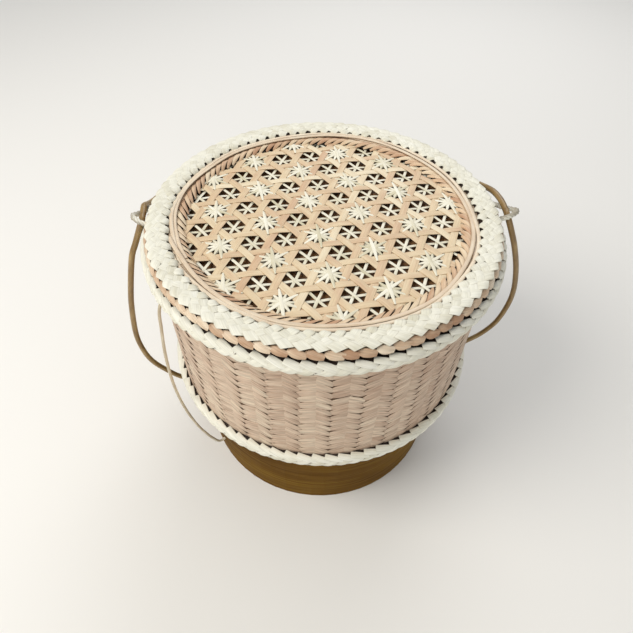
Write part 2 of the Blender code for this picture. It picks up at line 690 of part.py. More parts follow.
def build_eye(name: str, turn: float, reach: float, axis, material) -> None:
    """Loop of twisted cord that stands out of the lid's brown braid."""
    knots = []
    for step in range(EYE_POINTS):
        swing = math.pi * step / (EYE_POINTS - 1)
        along = EYE_HALF_LENGTH * math.cos(swing)
        seat = math.sqrt((LID_RADIUS + TOUCH_GAP) ** 2 - EYE_HALF_LENGTH ** 2) + TOUCH_GAP
        out = seat + (LID_RADIUS - seat + reach) * math.sin(swing)
        knots.append(Matrix.Rotation(turn, 3, "Z") @ Vector((out, along, EYE_HEIGHT)))
    tube(name, knots, EYE_CORD_RADIUS, axis, material)


def hole_knots(turn: float, height: float) -> list:
    """Knots that carry a cane straight through its hole in the foot."""
    return [foot_point(turn, height, out) for out in (0.0, -FOOT_THICKNESS - TOUCH_GAP)]


def build_arch(hinge, cane) -> None:
    """Half of the arch from one eye to the crown, which hangs a little behind the rim, and its mirror image."""
    depth = ARCH_BACK - HINGE_SETBACK
    stations = [(along, threading(along)) for along in threading_stations()]
    stations += [(THREADING_RUN, THREADING_RISE), *ARCH_FALL]
    first, height = stations[-1]
    start_turn = math.asin(first / depth)
    for step in range(1, ARCH_KNOTS + 1):
        along = depth * math.sin(start_turn + (0.5 * math.pi - start_turn) * step / ARCH_KNOTS)
        stations.append((along, height - (ARCH_CROWN_DROP + height) * (along - first) / (depth - first)))
    knots = []
    for along, rise in stations:
        out = HINGE_RADIUS * math.sqrt(max(0.0, 1.0 - (along / depth) ** 2))
        knots.append(Vector((out, along, rise)))
    right_half = smooth_route(knots, THREADING_RUN)
    left_half = [Vector((-point.x, point.y, point.z)) for point in reversed(right_half[:-1])]
    tube("handle_arch", right_half + left_half, CANE_RADIUS, hinge, cane)


def build_leg(name: str, side: float, hole_turn: float, bow: tuple, axis, cane) -> None:
    """One leg of the cane, from the eye that it is threaded through down to its hole in the foot."""
    top = Vector((side * HINGE_RADIUS, HINGE_SETBACK, EYE_HEIGHT))
    knots = []
    for along in threading_stations():
        knots.append(top + Vector((0.0, -along, threading(-along))))
    through = foot_point(hole_turn, HANDLE_HOLE_HEIGHT, HOLE_LEAD)
    knots += bowed_knots(top, through, bow)
    knots += hole_knots(hole_turn, HANDLE_HOLE_HEIGHT)
    tube(name, smooth_route(knots, 2.0 * THREADING_RUN), CANE_RADIUS, axis, cane)


def build_handle(axis, hinge, cane, pale_cane) -> None:
    """Cane arch behind the lid, its two legs down to the foot, their knots, and the thin stay."""
    build_arch(hinge, cane)
    for side, sign, bow in (("left", -1.0, LEFT_BOW), ("right", 1.0, RIGHT_BOW)):
        turn = HANDLE_HOLE_TURN if sign > 0.0 else HANDLE_HOLE_TURN + math.pi
        build_leg(f"handle_leg_{side}", sign, turn, bow, axis, cane)
        build_knot(f"handle_knot_{side}", turn, HANDLE_HOLE_HEIGHT, KNOT_RADIUS, KNOT_LENGTH, axis, cane)

    start_height = SEAM_HEIGHT - RIM_BRAID_HEIGHT - TOUCH_GAP - 0.5 * STAY_RADIUS
    start = around(WALL_RADIUS + TOUCH_GAP + 2.0 * STAY_RADIUS, STAY_TURN, start_height)
    through = foot_point(STAY_TURN, STAY_HOLE_HEIGHT, HOLE_LEAD)
    knots = [start] + bowed_knots(start, through, STAY_BOW) + hole_knots(STAY_TURN, STAY_HOLE_HEIGHT)
    tube("stay_cane", smooth_route(knots), STAY_RADIUS, axis, pale_cane)
    build_knot("stay_knot", STAY_TURN, STAY_HOLE_HEIGHT, STAY_KNOT_RADIUS, STAY_KNOT_LENGTH, axis, pale_cane)


def build_knot(name: str, turn: float, height: float, radius: float, length: float, axis, material) -> None:
    """Knot inside the foot that keeps a cane's end from pulling out of its hole."""
    wall_inside = foot_radius(height) - FOOT_THICKNESS
    far = wall_inside - 3.0 * TOUCH_GAP
    knot = bmesh.new()
    rod(knot, radius, far - length, far, turn, height, sides=10)
    bmesh.ops.bevel(knot, geom=[edge for edge in knot.edges if edge.calc_face_angle() > 1.0],
                    offset=0.25 * radius, segments=1, affect="EDGES")
    mesh_piece(name, knot, axis, material)


def leg_reach(bow: tuple) -> float:
    """How far a leg's bow stands out from the basket's axis."""
    end = foot_radius(HANDLE_HOLE_HEIGHT) + HOLE_LEAD
    return max(HINGE_RADIUS + (end - HINGE_RADIUS) * share + out for share, out, _ in bow)


def build_basket() -> None:
    """Model every piece about the basket's axis."""
    reach_left, reach_right = (leg_reach(bow) for bow in (LEFT_BOW, RIGHT_BOW))
    axis = bpy.data.objects.new("basket_axis", None)
    reach_back = ARCH_BACK + CANE_RADIUS
    axis.location = (0.5 * (reach_left - reach_right), 0.5 * (RIM_BRAID_RADIUS - reach_back), 0.0)
    bpy.context.scene.collection.objects.link(axis)
    hinge = bpy.data.objects.new("handle_hinge", None)
    hinge.location = (0.0, HINGE_SETBACK, EYE_HEIGHT)
    hinge.parent = axis
    bpy.context.scene.collection.objects.link(hinge)

    pale_strip = finish("pale_cane_strip", (0.74, 0.62, 0.42), 0.55)
    brown_strip = finish("brown_cane_strip", (0.50, 0.29, 0.16), 0.60)
    panel_strip = finish("tan_bamboo_strip", (0.60, 0.37, 0.18), 0.55)
    lining = finish("brown_bamboo_weave", (0.28, 0.15, 0.07), 0.70)
    stalk = finish("palm_stalk", (0.33, 0.16, 0.04), 0.45)
    slat = finish("bamboo_slat", (0.55, 0.38, 0.18), 0.60)
    hoop = finish("split_cane", (0.58, 0.36, 0.17), 0.50)
    handle_cane = finish("brown_cane", (0.36, 0.19, 0.08), 0.40)
    pale_cane = finish("pale_cane", (0.72, 0.58, 0.38), 0.45)

    build_foot(axis, stalk, slat, pale_cane)
    build_body(axis, brown_strip, pale_strip, hoop)
    build_lid(axis, brown_strip, pale_strip, panel_strip, hoop, lining)
    build_eye("lid_eye_left", EYE_LEFT_TURN, EYE_LEAST_REACH + EYE_LEFT_SLACK, axis, pale_cane)
    build_eye("lid_eye_right", EYE_RIGHT_TURN, EYE_LEAST_REACH + EYE_RIGHT_SLACK, axis, pale_cane)
    build_handle(axis, hinge, handle_cane, pale_cane)


clear_scene()
build_basket()
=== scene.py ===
import logging
import math
from dataclasses import dataclass, replace
from enum import Enum

import bpy
import numpy as np
from mathutils import Matrix, Vector


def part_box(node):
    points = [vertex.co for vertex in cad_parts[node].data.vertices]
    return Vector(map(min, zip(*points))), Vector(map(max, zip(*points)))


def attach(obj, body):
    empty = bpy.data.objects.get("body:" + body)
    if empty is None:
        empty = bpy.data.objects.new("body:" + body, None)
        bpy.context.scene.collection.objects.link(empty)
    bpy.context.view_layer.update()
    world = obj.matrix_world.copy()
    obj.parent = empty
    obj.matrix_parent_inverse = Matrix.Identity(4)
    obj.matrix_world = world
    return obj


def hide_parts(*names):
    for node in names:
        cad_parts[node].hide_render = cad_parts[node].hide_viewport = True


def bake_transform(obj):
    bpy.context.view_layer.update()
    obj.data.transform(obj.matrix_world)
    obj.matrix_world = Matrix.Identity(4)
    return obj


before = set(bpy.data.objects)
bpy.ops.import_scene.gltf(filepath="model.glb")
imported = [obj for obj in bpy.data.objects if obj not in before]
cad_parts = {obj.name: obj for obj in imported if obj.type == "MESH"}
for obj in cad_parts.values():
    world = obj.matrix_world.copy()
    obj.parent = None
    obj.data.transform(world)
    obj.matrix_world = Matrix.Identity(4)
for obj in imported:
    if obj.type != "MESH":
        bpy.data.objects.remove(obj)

log = logging.getLogger("rice_basket")

# Sizes are in millimetres and places are about the basket's own axis.
MM = 0.001

# Where the part has its hinge line, its foot and its star weave
HINGE_RADIUS = 95.6
HINGE_SETBACK = 4.4
HINGE_HEIGHT = 168.4
FOOT_GROUND_RADIUS = 78.3
FOOT_FLARE = 2.7
FOOT_HEIGHT = 70.9
STAR_SPACING = 28.1
STAR_TURN = math.radians(-21.4)
STAR_CENTRE = (-7.6, 13.5)
PANEL_TOP = 168.5

# Neighbouring faces look like one smooth surface up to these angles
STRIP_SMOOTH = math.radians(62.0)
RING_SMOOTH = math.radians(40.0)

# Wall radius at which the wood patterns are unrolled, and the usual range of a fibre pattern
UNROLLED_RADIUS = 84.0
FIBRE_LOW = 0.3
FIBRE_HIGH = 0.7


def basket_axis() -> tuple[float, float]:
    """Place of the basket's axis.

    Returns:
        X and Y of the axis in millimetres, from the box of the round wall.
    """
    low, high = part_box("outer_wall")
    return 0.5 * (low[0] + high[0]) / MM, 0.5 * (low[1] + high[1]) / MM


AXIS_X, AXIS_Y = basket_axis()


class Body(Enum):
    """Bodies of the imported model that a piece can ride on."""

    BASKET = "basket"
    LID = "lid"
    HANDLE = "handle"


class Lean(Enum):
    """Which way a strand runs along the ring while it crosses its row."""

    CLOCKWISE = -1.0
    ANTICLOCKWISE = 1.0


def stand_for(node: str) -> None:
    """Let a piece stand for a CAD node by hiding the node."""
    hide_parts(node)


def lengths(path: np.ndarray) -> np.ndarray:
    """Length from the start of a path to each of its points."""
    return np.concatenate([[0.0], np.cumsum(np.linalg.norm(np.diff(path, axis=0), axis=1))])


def directions(path: np.ndarray, run: np.ndarray) -> np.ndarray:
    """Unit direction of a path at each of its points, from their lengths along it."""
    way = np.gradient(path, run, axis=0)
    return way / np.linalg.norm(way, axis=1)[:, None]


def sampled(at: np.ndarray, run: np.ndarray, values: np.ndarray) -> np.ndarray:
    """Rows of values known at lengths run, read at other lengths."""
    return np.stack([np.interp(at, run, column) for column in values.T], -1)


def curve_through(knots: list, steps: int) -> np.ndarray:
    """Smooth curve through knots.

    Args:
        knots: Points that the curve goes through.
        steps: Points from each knot to the next.

    Returns:
        Points of the curve, one row each.
    """
    points = np.array(knots, float)
    ends = np.vstack([2.0 * points[0] - points[1], points, 2.0 * points[-1] - points[-2]])
    fine = []
    for before, start, end, after in zip(ends, ends[1:], ends[2:], ends[3:]):
        for t in np.arange(steps) / steps:
            fine.append(0.5 * (2.0 * start + (end - before) * t
                               + (2.0 * before - 5.0 * start + 4.0 * end - after) * t ** 2
                               + (3.0 * start - before - 3.0 * end + after) * t ** 3))
    return np.array(fine + [points[-1]])


def around(radius: float, turn: float, height: float) -> np.ndarray:
    """Point at a distance from the axis, a turn about it and a height."""
    return np.array((radius * math.cos(turn), radius * math.sin(turn), height))


def in_frame(points: np.ndarray) -> np.ndarray:
    """Points in mm about the basket's axis, as metres in the frame."""
    return (points + (AXIS_X, AXIS_Y, 0.0)) * MM


def uneven(luck: np.random.RandomState, middle: float, spread: float) -> float:
    """Tone drawn about a middle one, clear of both ends."""
    return float(np.clip(luck.normal(middle, spread), 0.03, 0.97))


def linear(code: str) -> tuple[float, float, float, float]:
    """Colour of a hex code as Blender wants it.

    Args:
        code: sRGB colour such as "#EADFC4".

    Returns:
        Linear red, green, blue and full alpha.
    """
    channels = []
    for start in (1, 3, 5):
        value = int(code[start:start + 2], 16) / 255.0
        channels.append(value / 12.92 if value <= 0.04045 else ((value + 0.055) / 1.055) ** 2.4)
    return (*channels, 1.0)


def per_metre(*sizes: float) -> tuple[float, ...]:
    """Scale of a pattern whose features have these sizes in mm."""
    return tuple(1.0 / (size * MM) for size in sizes)


def add(tree: bpy.types.NodeTree, kind: str, inputs: dict | None = None, **settings) -> bpy.types.Node:
    """Add a node with its settings and links.

    Args:
        tree: Node tree that the node goes into.
        kind: Blender's name for the node.
        inputs: Socket name or number to a value or to the output that feeds it.
        settings: Properties of the node.

    Returns:
        The new node.
    """
    node = tree.nodes.new(kind)
    for key, value in settings.items():
        setattr(node, key, value)
    for key, value in (inputs or {}).items():
        if isinstance(value, bpy.types.NodeSocket):
            tree.links.new(value, node.inputs[key])
        else:
            node.inputs[key].default_value = value
    return node


def unrolled(tree: bpy.types.NodeTree, where: bpy.types.NodeSocket) -> bpy.types.NodeSocket:
    """Object coordinates wound off the basket's round wall.

    Args:
        tree: Node tree of the material.
        where: Object coordinates.

    Returns:
        Length round the wall, distance from the axis and height, in metres.
    """
    shift = (-AXIS_X * MM, -AXIS_Y * MM, 0.0)
    moved = add(tree, "ShaderNodeVectorMath", {0: where, 1: shift}, operation="ADD").outputs[0]
    parts = add(tree, "ShaderNodeSeparateXYZ", {"Vector": moved})
    turn = add(tree, "ShaderNodeMath", {0: parts.outputs["Y"], 1: parts.outputs["X"]}, operation="ARCTAN2")
    along = add(tree, "ShaderNodeMath", {0: turn.outputs[0], 1: UNROLLED_RADIUS * MM}, operation="MULTIPLY")
    flat = add(tree, "ShaderNodeVectorMath", {0: moved, 1: (1.0, 1.0, 0.0)}, operation="MULTIPLY")
    out = add(tree, "ShaderNodeVectorMath", {0: flat.outputs[0]}, operation="LENGTH")
    return add(tree, "ShaderNodeCombineXYZ", {"X": along.outputs[0], "Y": out.outputs["Value"],
               "Z": parts.outputs["Z"]}).outputs[0]


@dataclass(frozen=True)
class Finish:
    """What every finish has: a name and three tones of its own colour."""

    name: str
    dark: str
    body: str
    pale: str

    def inputs(self, tree: bpy.types.NodeTree) -> dict:
        """What feeds the shader, by socket. Every kind of finish has its own."""
        raise NotImplementedError

    def build(self) -> bpy.types.Material:
        """Make the material.

        Returns:
            Node material with this finish's colour, gloss and relief.
        """
        material = bpy.data.materials.new(self.name)
        material.use_nodes = True
        tree = material.node_tree
        tree.nodes.clear()
        shader = add(tree, "ShaderNodeBsdfPrincipled", self.inputs(tree))
        add(tree, "ShaderNodeOutputMaterial", {"Surface": shader.outputs["BSDF"]})
        return material

    def tones(self, tree: bpy.types.NodeTree, factor: bpy.types.NodeSocket,
              places: tuple[float, float, float]) -> bpy.types.NodeSocket:
        """Colour of the finish by a factor.

        Args:
            tree: Node tree of the material.
            factor: Output that chooses the tone.
            places: Factors at which the dark, the usual and the pale tone stand.

        Returns:
            The colour output.
        """
        node = add(tree, "ShaderNodeValToRGB", {"Fac": factor})
        points = node.color_ramp.elements
        points.new(0.5)
        for point, place, code in zip(points, places, (self.dark, self.body, self.pale)):
            point.position = place
            point.color = linear(code)
        return node.outputs["Color"]

    def skin(self, tree: bpy.types.NodeTree, fibres: bpy.types.NodeSocket, rough: float, smooth: float,
             bump_mm: float) -> dict:
        """Gloss and relief that follow the fibres.

        Args:
            tree: Node tree of the material.
            fibres: Output of the fibre pattern.
            rough: Roughness between the fibres.
            smooth: Roughness on top of them.
            bump_mm: How high they stand.

        Returns:
            What feeds the shader's roughness and normal.
        """
        gloss = add(tree, "ShaderNodeMapRange", {"Value": fibres, "From Min": FIBRE_LOW,
                    "From Max": FIBRE_HIGH, "To Min": rough, "To Max": smooth})
        bump = add(tree, "ShaderNodeBump", {"Height": fibres, "Strength": 1.0, "Distance": bump_mm * MM})
        return {"Roughness": gloss.outputs["Result"], "Normal": bump.outputs["Normal"]}


@dataclass(frozen=True)
class StripFinish(Finish):
    """Cane or bamboo split into strips.

    The eye sees fine straight fibres along each strip, a slow change of tone from strip to strip and
    along a strip, a satin skin, and painted shade that darkens the edges and undersides between strips.
    """

    # Colour of the painted shade on the strips' edges and undersides
    edge: str
    roughness: float
    fibre_mm: float = 0.45
    streak_mm: float = 14.0
    cloud_mm: tuple[float, float] = (9.0, 2.5)
    cloud_depth: float = 0.9
    places: tuple[float, float, float] = (0.08, 0.5, 0.92)
    contrast: float = 0.22
    edge_shade_share: float = 0.55
    edge_shade_range: tuple[float, float] = (0.15, 0.65)
    rougher: float = 0.08
    smoother: float = 0.06
    bump_mm: float = 0.05

    def inputs(self, tree: bpy.types.NodeTree) -> dict:
        """Colour, gloss and relief of a strip.

        Args:
            tree: Node tree of the material.

        Returns:
            What feeds the shader, from the piece's own grain and rim attributes.
        """
        grain = add(tree, "ShaderNodeAttribute", attribute_name="grain").outputs["Vector"]
        tone = add(tree, "ShaderNodeSeparateXYZ", {"Vector": grain}).outputs["Z"]
        # rim: how much painted shade a point gets, none on a strip's top and all on its underside
        rim = add(tree, "ShaderNodeAttribute", attribute_name="rim").outputs["Fac"]

        # Real fibre bundles are about 0.2 mm across. They are drawn a little coarser, or none would show.
        # The third scale of both patterns only gives strips of different tones different fibres.
        fine = add(tree, "ShaderNodeMapping", {"Vector": grain,
                   "Scale": (*per_metre(self.streak_mm, self.fibre_mm), 37.0)})
        fibres = add(tree, "ShaderNodeTexNoise", {"Vector": fine.outputs[0], "Scale": 1.0,
                     "Detail": 3.0}).outputs["Fac"]
        slow = add(tree, "ShaderNodeMapping", {"Vector": grain,
                   "Scale": (*per_metre(*self.cloud_mm), 91.0)})
        clouds = add(tree, "ShaderNodeTexNoise", {"Vector": slow.outputs[0], "Scale": 1.0, "Detail": 2.0})

        about_zero = add(tree, "ShaderNodeMath", {0: clouds.outputs["Fac"], 1: -0.5}, operation="ADD")
        clouded = add(tree, "ShaderNodeMath", {0: about_zero.outputs[0], 1: self.cloud_depth, 2: tone},
                      operation="MULTIPLY_ADD")
        colour = self.tones(tree, clouded.outputs[0], self.places)
        streak = add(tree, "ShaderNodeMapRange", {"Value": fibres, "From Min": FIBRE_LOW,
                     "From Max": FIBRE_HIGH, "To Min": 1.0 - self.contrast,
                     "To Max": 1.0 + 0.35 * self.contrast})
        streaked = add(tree, "ShaderNodeVectorMath", {0: colour, 1: streak.outputs["Result"]},
                       operation="MULTIPLY")
        # Painted shade: the edge colour is mixed in by the rim share
        depth = add(tree, "ShaderNodeMapRange", {"Value": rim, "From Min": self.edge_shade_range[0],
                    "From Max": self.edge_shade_range[1], "To Min": 0.0, "To Max": self.edge_shade_share})
        mixed = add(tree, "ShaderNodeMix", {0: depth.outputs["Result"], 6: streaked.outputs[0],
                    7: linear(self.edge)}, data_type="RGBA", clamp_result=True)
        return {"Base Color": mixed.outputs[2],
                **self.skin(tree, fibres, self.roughness + self.rougher, self.roughness - self.smoother,
                            self.bump_mm)}


@dataclass(frozen=True)
class TurnedFinish(Finish):
    """Wood-like surface of a CAD ring, plate or bar, which has no strip attributes.

    The eye sees long fibres that run round the ring or along the plate, and broad patches of tone.
    """

    roughness: float
    round_about: bool = True
    fibre_mm: tuple[float, float, float] = (60.0, 9.0, 1.1)
    patch_mm: tuple[float, float, float] = (90.0, 20.0, 26.0)
    places: tuple[float, float, float] = (0.34, 0.5, 0.66)
    gloss_swing: float = 0.07
    bump_mm: float = 0.06
    specular: float = 0.5

    def inputs(self, tree: bpy.types.NodeTree) -> dict:
        """Colour, gloss and relief on Object coordinates.

        Args:
            tree: Node tree of the material.

        Returns:
            What feeds the shader, wound about the basket's axis where the piece is round.
        """
        where = add(tree, "ShaderNodeTexCoord").outputs["Object"]
        if self.round_about:
            where = unrolled(tree, where)
        fine = add(tree, "ShaderNodeMapping", {"Vector": where, "Scale": per_metre(*self.fibre_mm)})
        fibres = add(tree, "ShaderNodeTexNoise", {"Vector": fine.outputs[0], "Scale": 1.0,
                     "Detail": 4.0}).outputs["Fac"]
        slow = add(tree, "ShaderNodeMapping", {"Vector": where, "Scale": per_metre(*self.patch_mm)})
        patches = add(tree, "ShaderNodeTexNoise", {"Vector": slow.outputs[0], "Scale": 1.0, "Detail": 3.0})
        both = add(tree, "ShaderNodeMath", {0: fibres, 1: patches.outputs["Fac"]}, operation="ADD")
        half = add(tree, "ShaderNodeMath", {0: both.outputs[0], 1: 0.5}, operation="MULTIPLY")
        return {"Base Color": self.tones(tree, half.outputs[0], self.places),
                "Specular IOR Level": self.specular,
                **self.skin(tree, fibres, self.roughness + self.gloss_swing,
                            self.roughness - self.gloss_swing, self.bump_mm)}


@dataclass(frozen=True)
class WeaveFinish(Finish):
    """Flat bamboo weave on a CAD wall or plate, seen only through holes or with the lid off.

    The eye sees crossing strips about 4 mm wide, each a shade lighter or darker than the next, with a
    thin dark line of painted shade between them.
    """

    roughness: float
    round_about: bool
    strip_mm: float = 3.9
    round_turn: float = math.radians(45.0)
    flat_turn: float = math.radians(23.6)
    places: tuple[float, float, float] = (0.3, 0.55, 0.85)
    crossing_shade: float = 0.22
    line_shade: float = 0.35
    line_share: float = 0.45
    bump_mm: float = 0.4

    def inputs(self, tree: bpy.types.NodeTree) -> dict:
        """Colour and relief on Object coordinates.

        Args:
            tree: Node tree of the material.

        Returns:
            What feeds the shader, with the strips of the weave at their real width.
        """
        where = add(tree, "ShaderNodeTexCoord").outputs["Object"]
        turn, second = (0.0, 0.0, self.flat_turn), "Y"
        if self.round_about:
            where = unrolled(tree, where)
            turn, second = (0.0, self.round_turn, 0.0), "Z"
        turned_to = add(tree, "ShaderNodeMapping", {"Vector": where, "Rotation": turn})
        parts = add(tree, "ShaderNodeSeparateXYZ", {"Vector": turned_to.outputs[0]})
        waves, crests = [], []
        for side in ("X", second):
            scaled = add(tree, "ShaderNodeMath", {0: parts.outputs[side],
                         1: math.pi / (self.strip_mm * MM)}, operation="MULTIPLY")
            waves.append(add(tree, "ShaderNodeMath", {0: scaled.outputs[0]}, operation="SINE").outputs[0])
            crests.append(add(tree, "ShaderNodeMath", {0: waves[-1]}, operation="ABSOLUTE").outputs[0])
        signs = add(tree, "ShaderNodeMath", {0: waves[0], 1: waves[1]}, operation="MULTIPLY")
        over = add(tree, "ShaderNodeMath", {0: signs.outputs[0], 1: 0.0}, operation="GREATER_THAN")
        height = add(tree, "ShaderNodeMix", {0: over.outputs[0], 2: crests[0], 3: crests[1]})
        # Painted shade: a thin dark line where the strips meet
        groove_shade = add(tree, "ShaderNodeMapRange", {"Value": height.outputs[0], "From Min": 0.0,
                    "From Max": self.line_share, "To Min": self.line_shade, "To Max": 1.0})
        noise = add(tree, "ShaderNodeTexNoise", {"Vector": where, "Scale": 160.0, "Detail": 3.0})
        shade = add(tree, "ShaderNodeMath", {0: over.outputs[0], 1: self.crossing_shade,
                    2: noise.outputs["Fac"]}, operation="MULTIPLY_ADD")
        colour = self.tones(tree, shade.outputs[0], self.places)
        groove_shaded = add(tree, "ShaderNodeVectorMath", {0: colour, 1: groove_shade.outputs["Result"]},
                    operation="MULTIPLY")
        bump = add(tree, "ShaderNodeBump", {"Height": height.outputs[0], "Strength": 1.0,
                   "Distance": self.bump_mm * MM})
        return {"Base Color": groove_shaded.outputs[0], "Roughness": self.roughness,
                "Normal": bump.outputs["Normal"]}


@dataclass(frozen=True)
class PaintedFinish(Finish):
    """Matt painted board. The eye sees a pale ground with hardly any change of tone."""

    roughness: float = 0.9
    places: tuple[float, float, float] = (0.3, 0.5, 0.7)

    def inputs(self, tree: bpy.types.NodeTree) -> dict:
        """Colour and roughness of the paint, for a node tree."""
        noise = add(tree, "ShaderNodeTexNoise", {"Scale": 3.0, "Detail": 2.0})
        return {"Base Color": self.tones(tree, noise.outputs["Fac"], self.places),
                "Roughness": self.roughness}


# The fifth colour of every strip finish is painted shade on the edges and undersides of its strips
# Cane scraped pale and split: creamy, nearly white, with faint straight fibres
PALE_CANE = StripFinish("pale_cane_split_and_scraped", "#CEC8B0", "#E6E3D2", "#F1EFE2", "#7C6E56", 0.55,
                        contrast=0.13, edge_shade_share=0.7)
# The same cane, dyed: pinkish brown, each strand another shade
BROWN_CANE = StripFinish("brown_cane_split_and_dyed", "#B58E6E", "#D8BC9D", "#EBD9BF", "#5E3F2D", 0.50,
                         contrast=0.22, edge_shade_share=0.6)
# Bamboo split thin for the wall: pinkish tan in long fibres, with painted shade where strips dive under
WALL_BAMBOO = StripFinish("wall_bamboo_split_thin", "#B5967E", "#CFB69E", "#DFCDB4", "#947862", 0.58,
                          fibre_mm=0.7, streak_mm=13.0, contrast=0.34, edge_shade_share=0.3, bump_mm=0.10)
# Bamboo split flat for the panel: warm yellow tan, smooth skin
TAN_BAMBOO = StripFinish("tan_bamboo_split_flat", "#CFAD8A", "#DCC5A0", "#E8D8B8", "#A98660", 0.50,
                         contrast=0.12, edge_shade_share=0.25)
# Bleached cane of the stars: the palest strips on the lid
STAR_CANE = StripFinish("star_cane_bleached", "#CFC7A8", "#E6E0CA", "#F2EEDC", "#9A8A66", 0.50,
                        contrast=0.08, edge_shade_share=0.4)
# Turned-back strip ends: tan with deep shade between them
TWIST_CANE = StripFinish("twisted_cane_pinkish", "#C09674", "#DDBF9C", "#EAD6B6", "#5B3E2A", 0.52,
                         contrast=0.18, edge_shade_share=0.6)
# Smooth split cane of the loose hoops: pale pinkish tan with a soft sheen
HOOP_CANE = StripFinish("hoop_cane_split_smooth", "#C9AC8C", "#DFCBB0", "#EEE2CA", "#7E6146", 0.42,
                        streak_mm=30.0, contrast=0.12, edge_shade_share=0.45)
# Whole peeled cane of the handle: brown, worn lighter, with fine lines along it
HANDLE_CANE = StripFinish("handle_cane_whole_peeled", "#6A4F2E", "#967A4C", "#BFA572", "#54401F", 0.32,
                          fibre_mm=0.35, streak_mm=26.0, contrast=0.20, edge_shade_share=0.35, bump_mm=0.04)
# Thin cane of the stay: paler and pinker than the handle
STAY_CANE = StripFinish("stay_cane_thin_pinkish", "#BFAC8E", "#DDD0B4", "#EEE6D0", "#7F6A4C", 0.42,
                        streak_mm=26.0, contrast=0.15, edge_shade_share=0.35, bump_mm=0.03)
# Inside of a plait in full shade, as a near-black layer of painted shade: what shows through its gaps
SHADED_CORE = StripFinish("braid_core_painted_shade", "#1C120B", "#2A1B10", "#3A2818", "#150D07", 0.75,
                          fibre_mm=1.0, contrast=0.3, edge_shade_share=0.3)
# Inner strands of a pale plait: the same cane, darkened as painted half shade
SHADED_PALE = StripFinish("braid_core_pale_cane_painted_shade", "#64553F", "#7D6D54", "#968668", "#4C3F2D", 0.7,
                          fibre_mm=1.0, contrast=0.25, edge_shade_share=0.3)
# Back of the wall's weave as painted shade: a brown layer that shows as thin dark slits
SHADED_WALL = StripFinish("wall_core_painted_shade", "#5E4633", "#735843", "#8A6C54", "#3E2C1E", 0.75,
                          fibre_mm=1.0, contrast=0.3, edge_shade_share=0.3)
# Palm stalk bent and scraped for the foot: deep ochre brown, long fibres, slight polish
PALM_STALK = TurnedFinish("palm_stalk_scraped", "#4C3004", "#63440A", "#86661C", 0.6, specular=0.06)
# Split bamboo of the slats and pegs: straw coloured
BAMBOO_SLAT = TurnedFinish("bamboo_slat_split", "#A9814F", "#C6A26D", "#D9BC8A", 0.55, round_about=False)
# Split cane of stitches, knots and hidden hoops: tan, with long fibres
SPLIT_CANE = TurnedFinish("split_cane_hoop", "#A98459", "#C4A176", "#D8BC92", 0.5)
# Smoked bamboo under the panel: brown depth behind the openings
LINING_WEAVE = WeaveFinish("lining_bamboo_smoked", "#52351D", "#74502F", "#8C6740", 0.6, False)
# Inner wall and collar, seen with the lid off: brown crossing strips
WALL_WEAVE = WeaveFinish("inner_wall_bamboo_weave", "#6B4A33", "#8C6748", "#A47E5B", 0.6, True)
# Floor of the basket: broader and lighter strips
FLOOR_WEAVE = WeaveFinish("floor_bamboo_weave", "#8E6A47", "#AA855C", "#BF9C70", 0.6, False, 5.0)
# Painted board under the basket: nearly white, matt
PALE_BOARD = PaintedFinish("floor_painted_board", "#EBE9E4", "#EFEDE8", "#F1F0EC")


class Materials:
    """One copy of every finish, built when it is first asked for."""

    def __init__(self) -> None:
        """Start with none built."""
        self.built: dict[str, bpy.types.Material] = {}

    def of(self, finish: Finish) -> bpy.types.Material:
        """Material of a finish.

        Args:
            finish: The finish.

        Returns:
            Its one material.
        """
        if finish.name not in self.built:
            self.built[finish.name] = finish.build()
        return self.built[finish.name]


materials = Materials()


def only(piece: bpy.types.Object) -> None:
    """Select one object and make it active.

    Args:
        piece: The object.
    """
    bpy.ops.object.select_all(action="DESELECT")
    piece.select_set(True)
    bpy.context.view_layer.objects.active = piece


def corners(mesh: bpy.types.Mesh) -> np.ndarray:
    """Places of a mesh's vertices.

    Args:
        mesh: The mesh.

    Returns:
        One row for each vertex.
    """
    points = np.empty(len(mesh.vertices) * 3)
    mesh.vertices.foreach_get("co", points)
    return points.reshape(-1, 3)


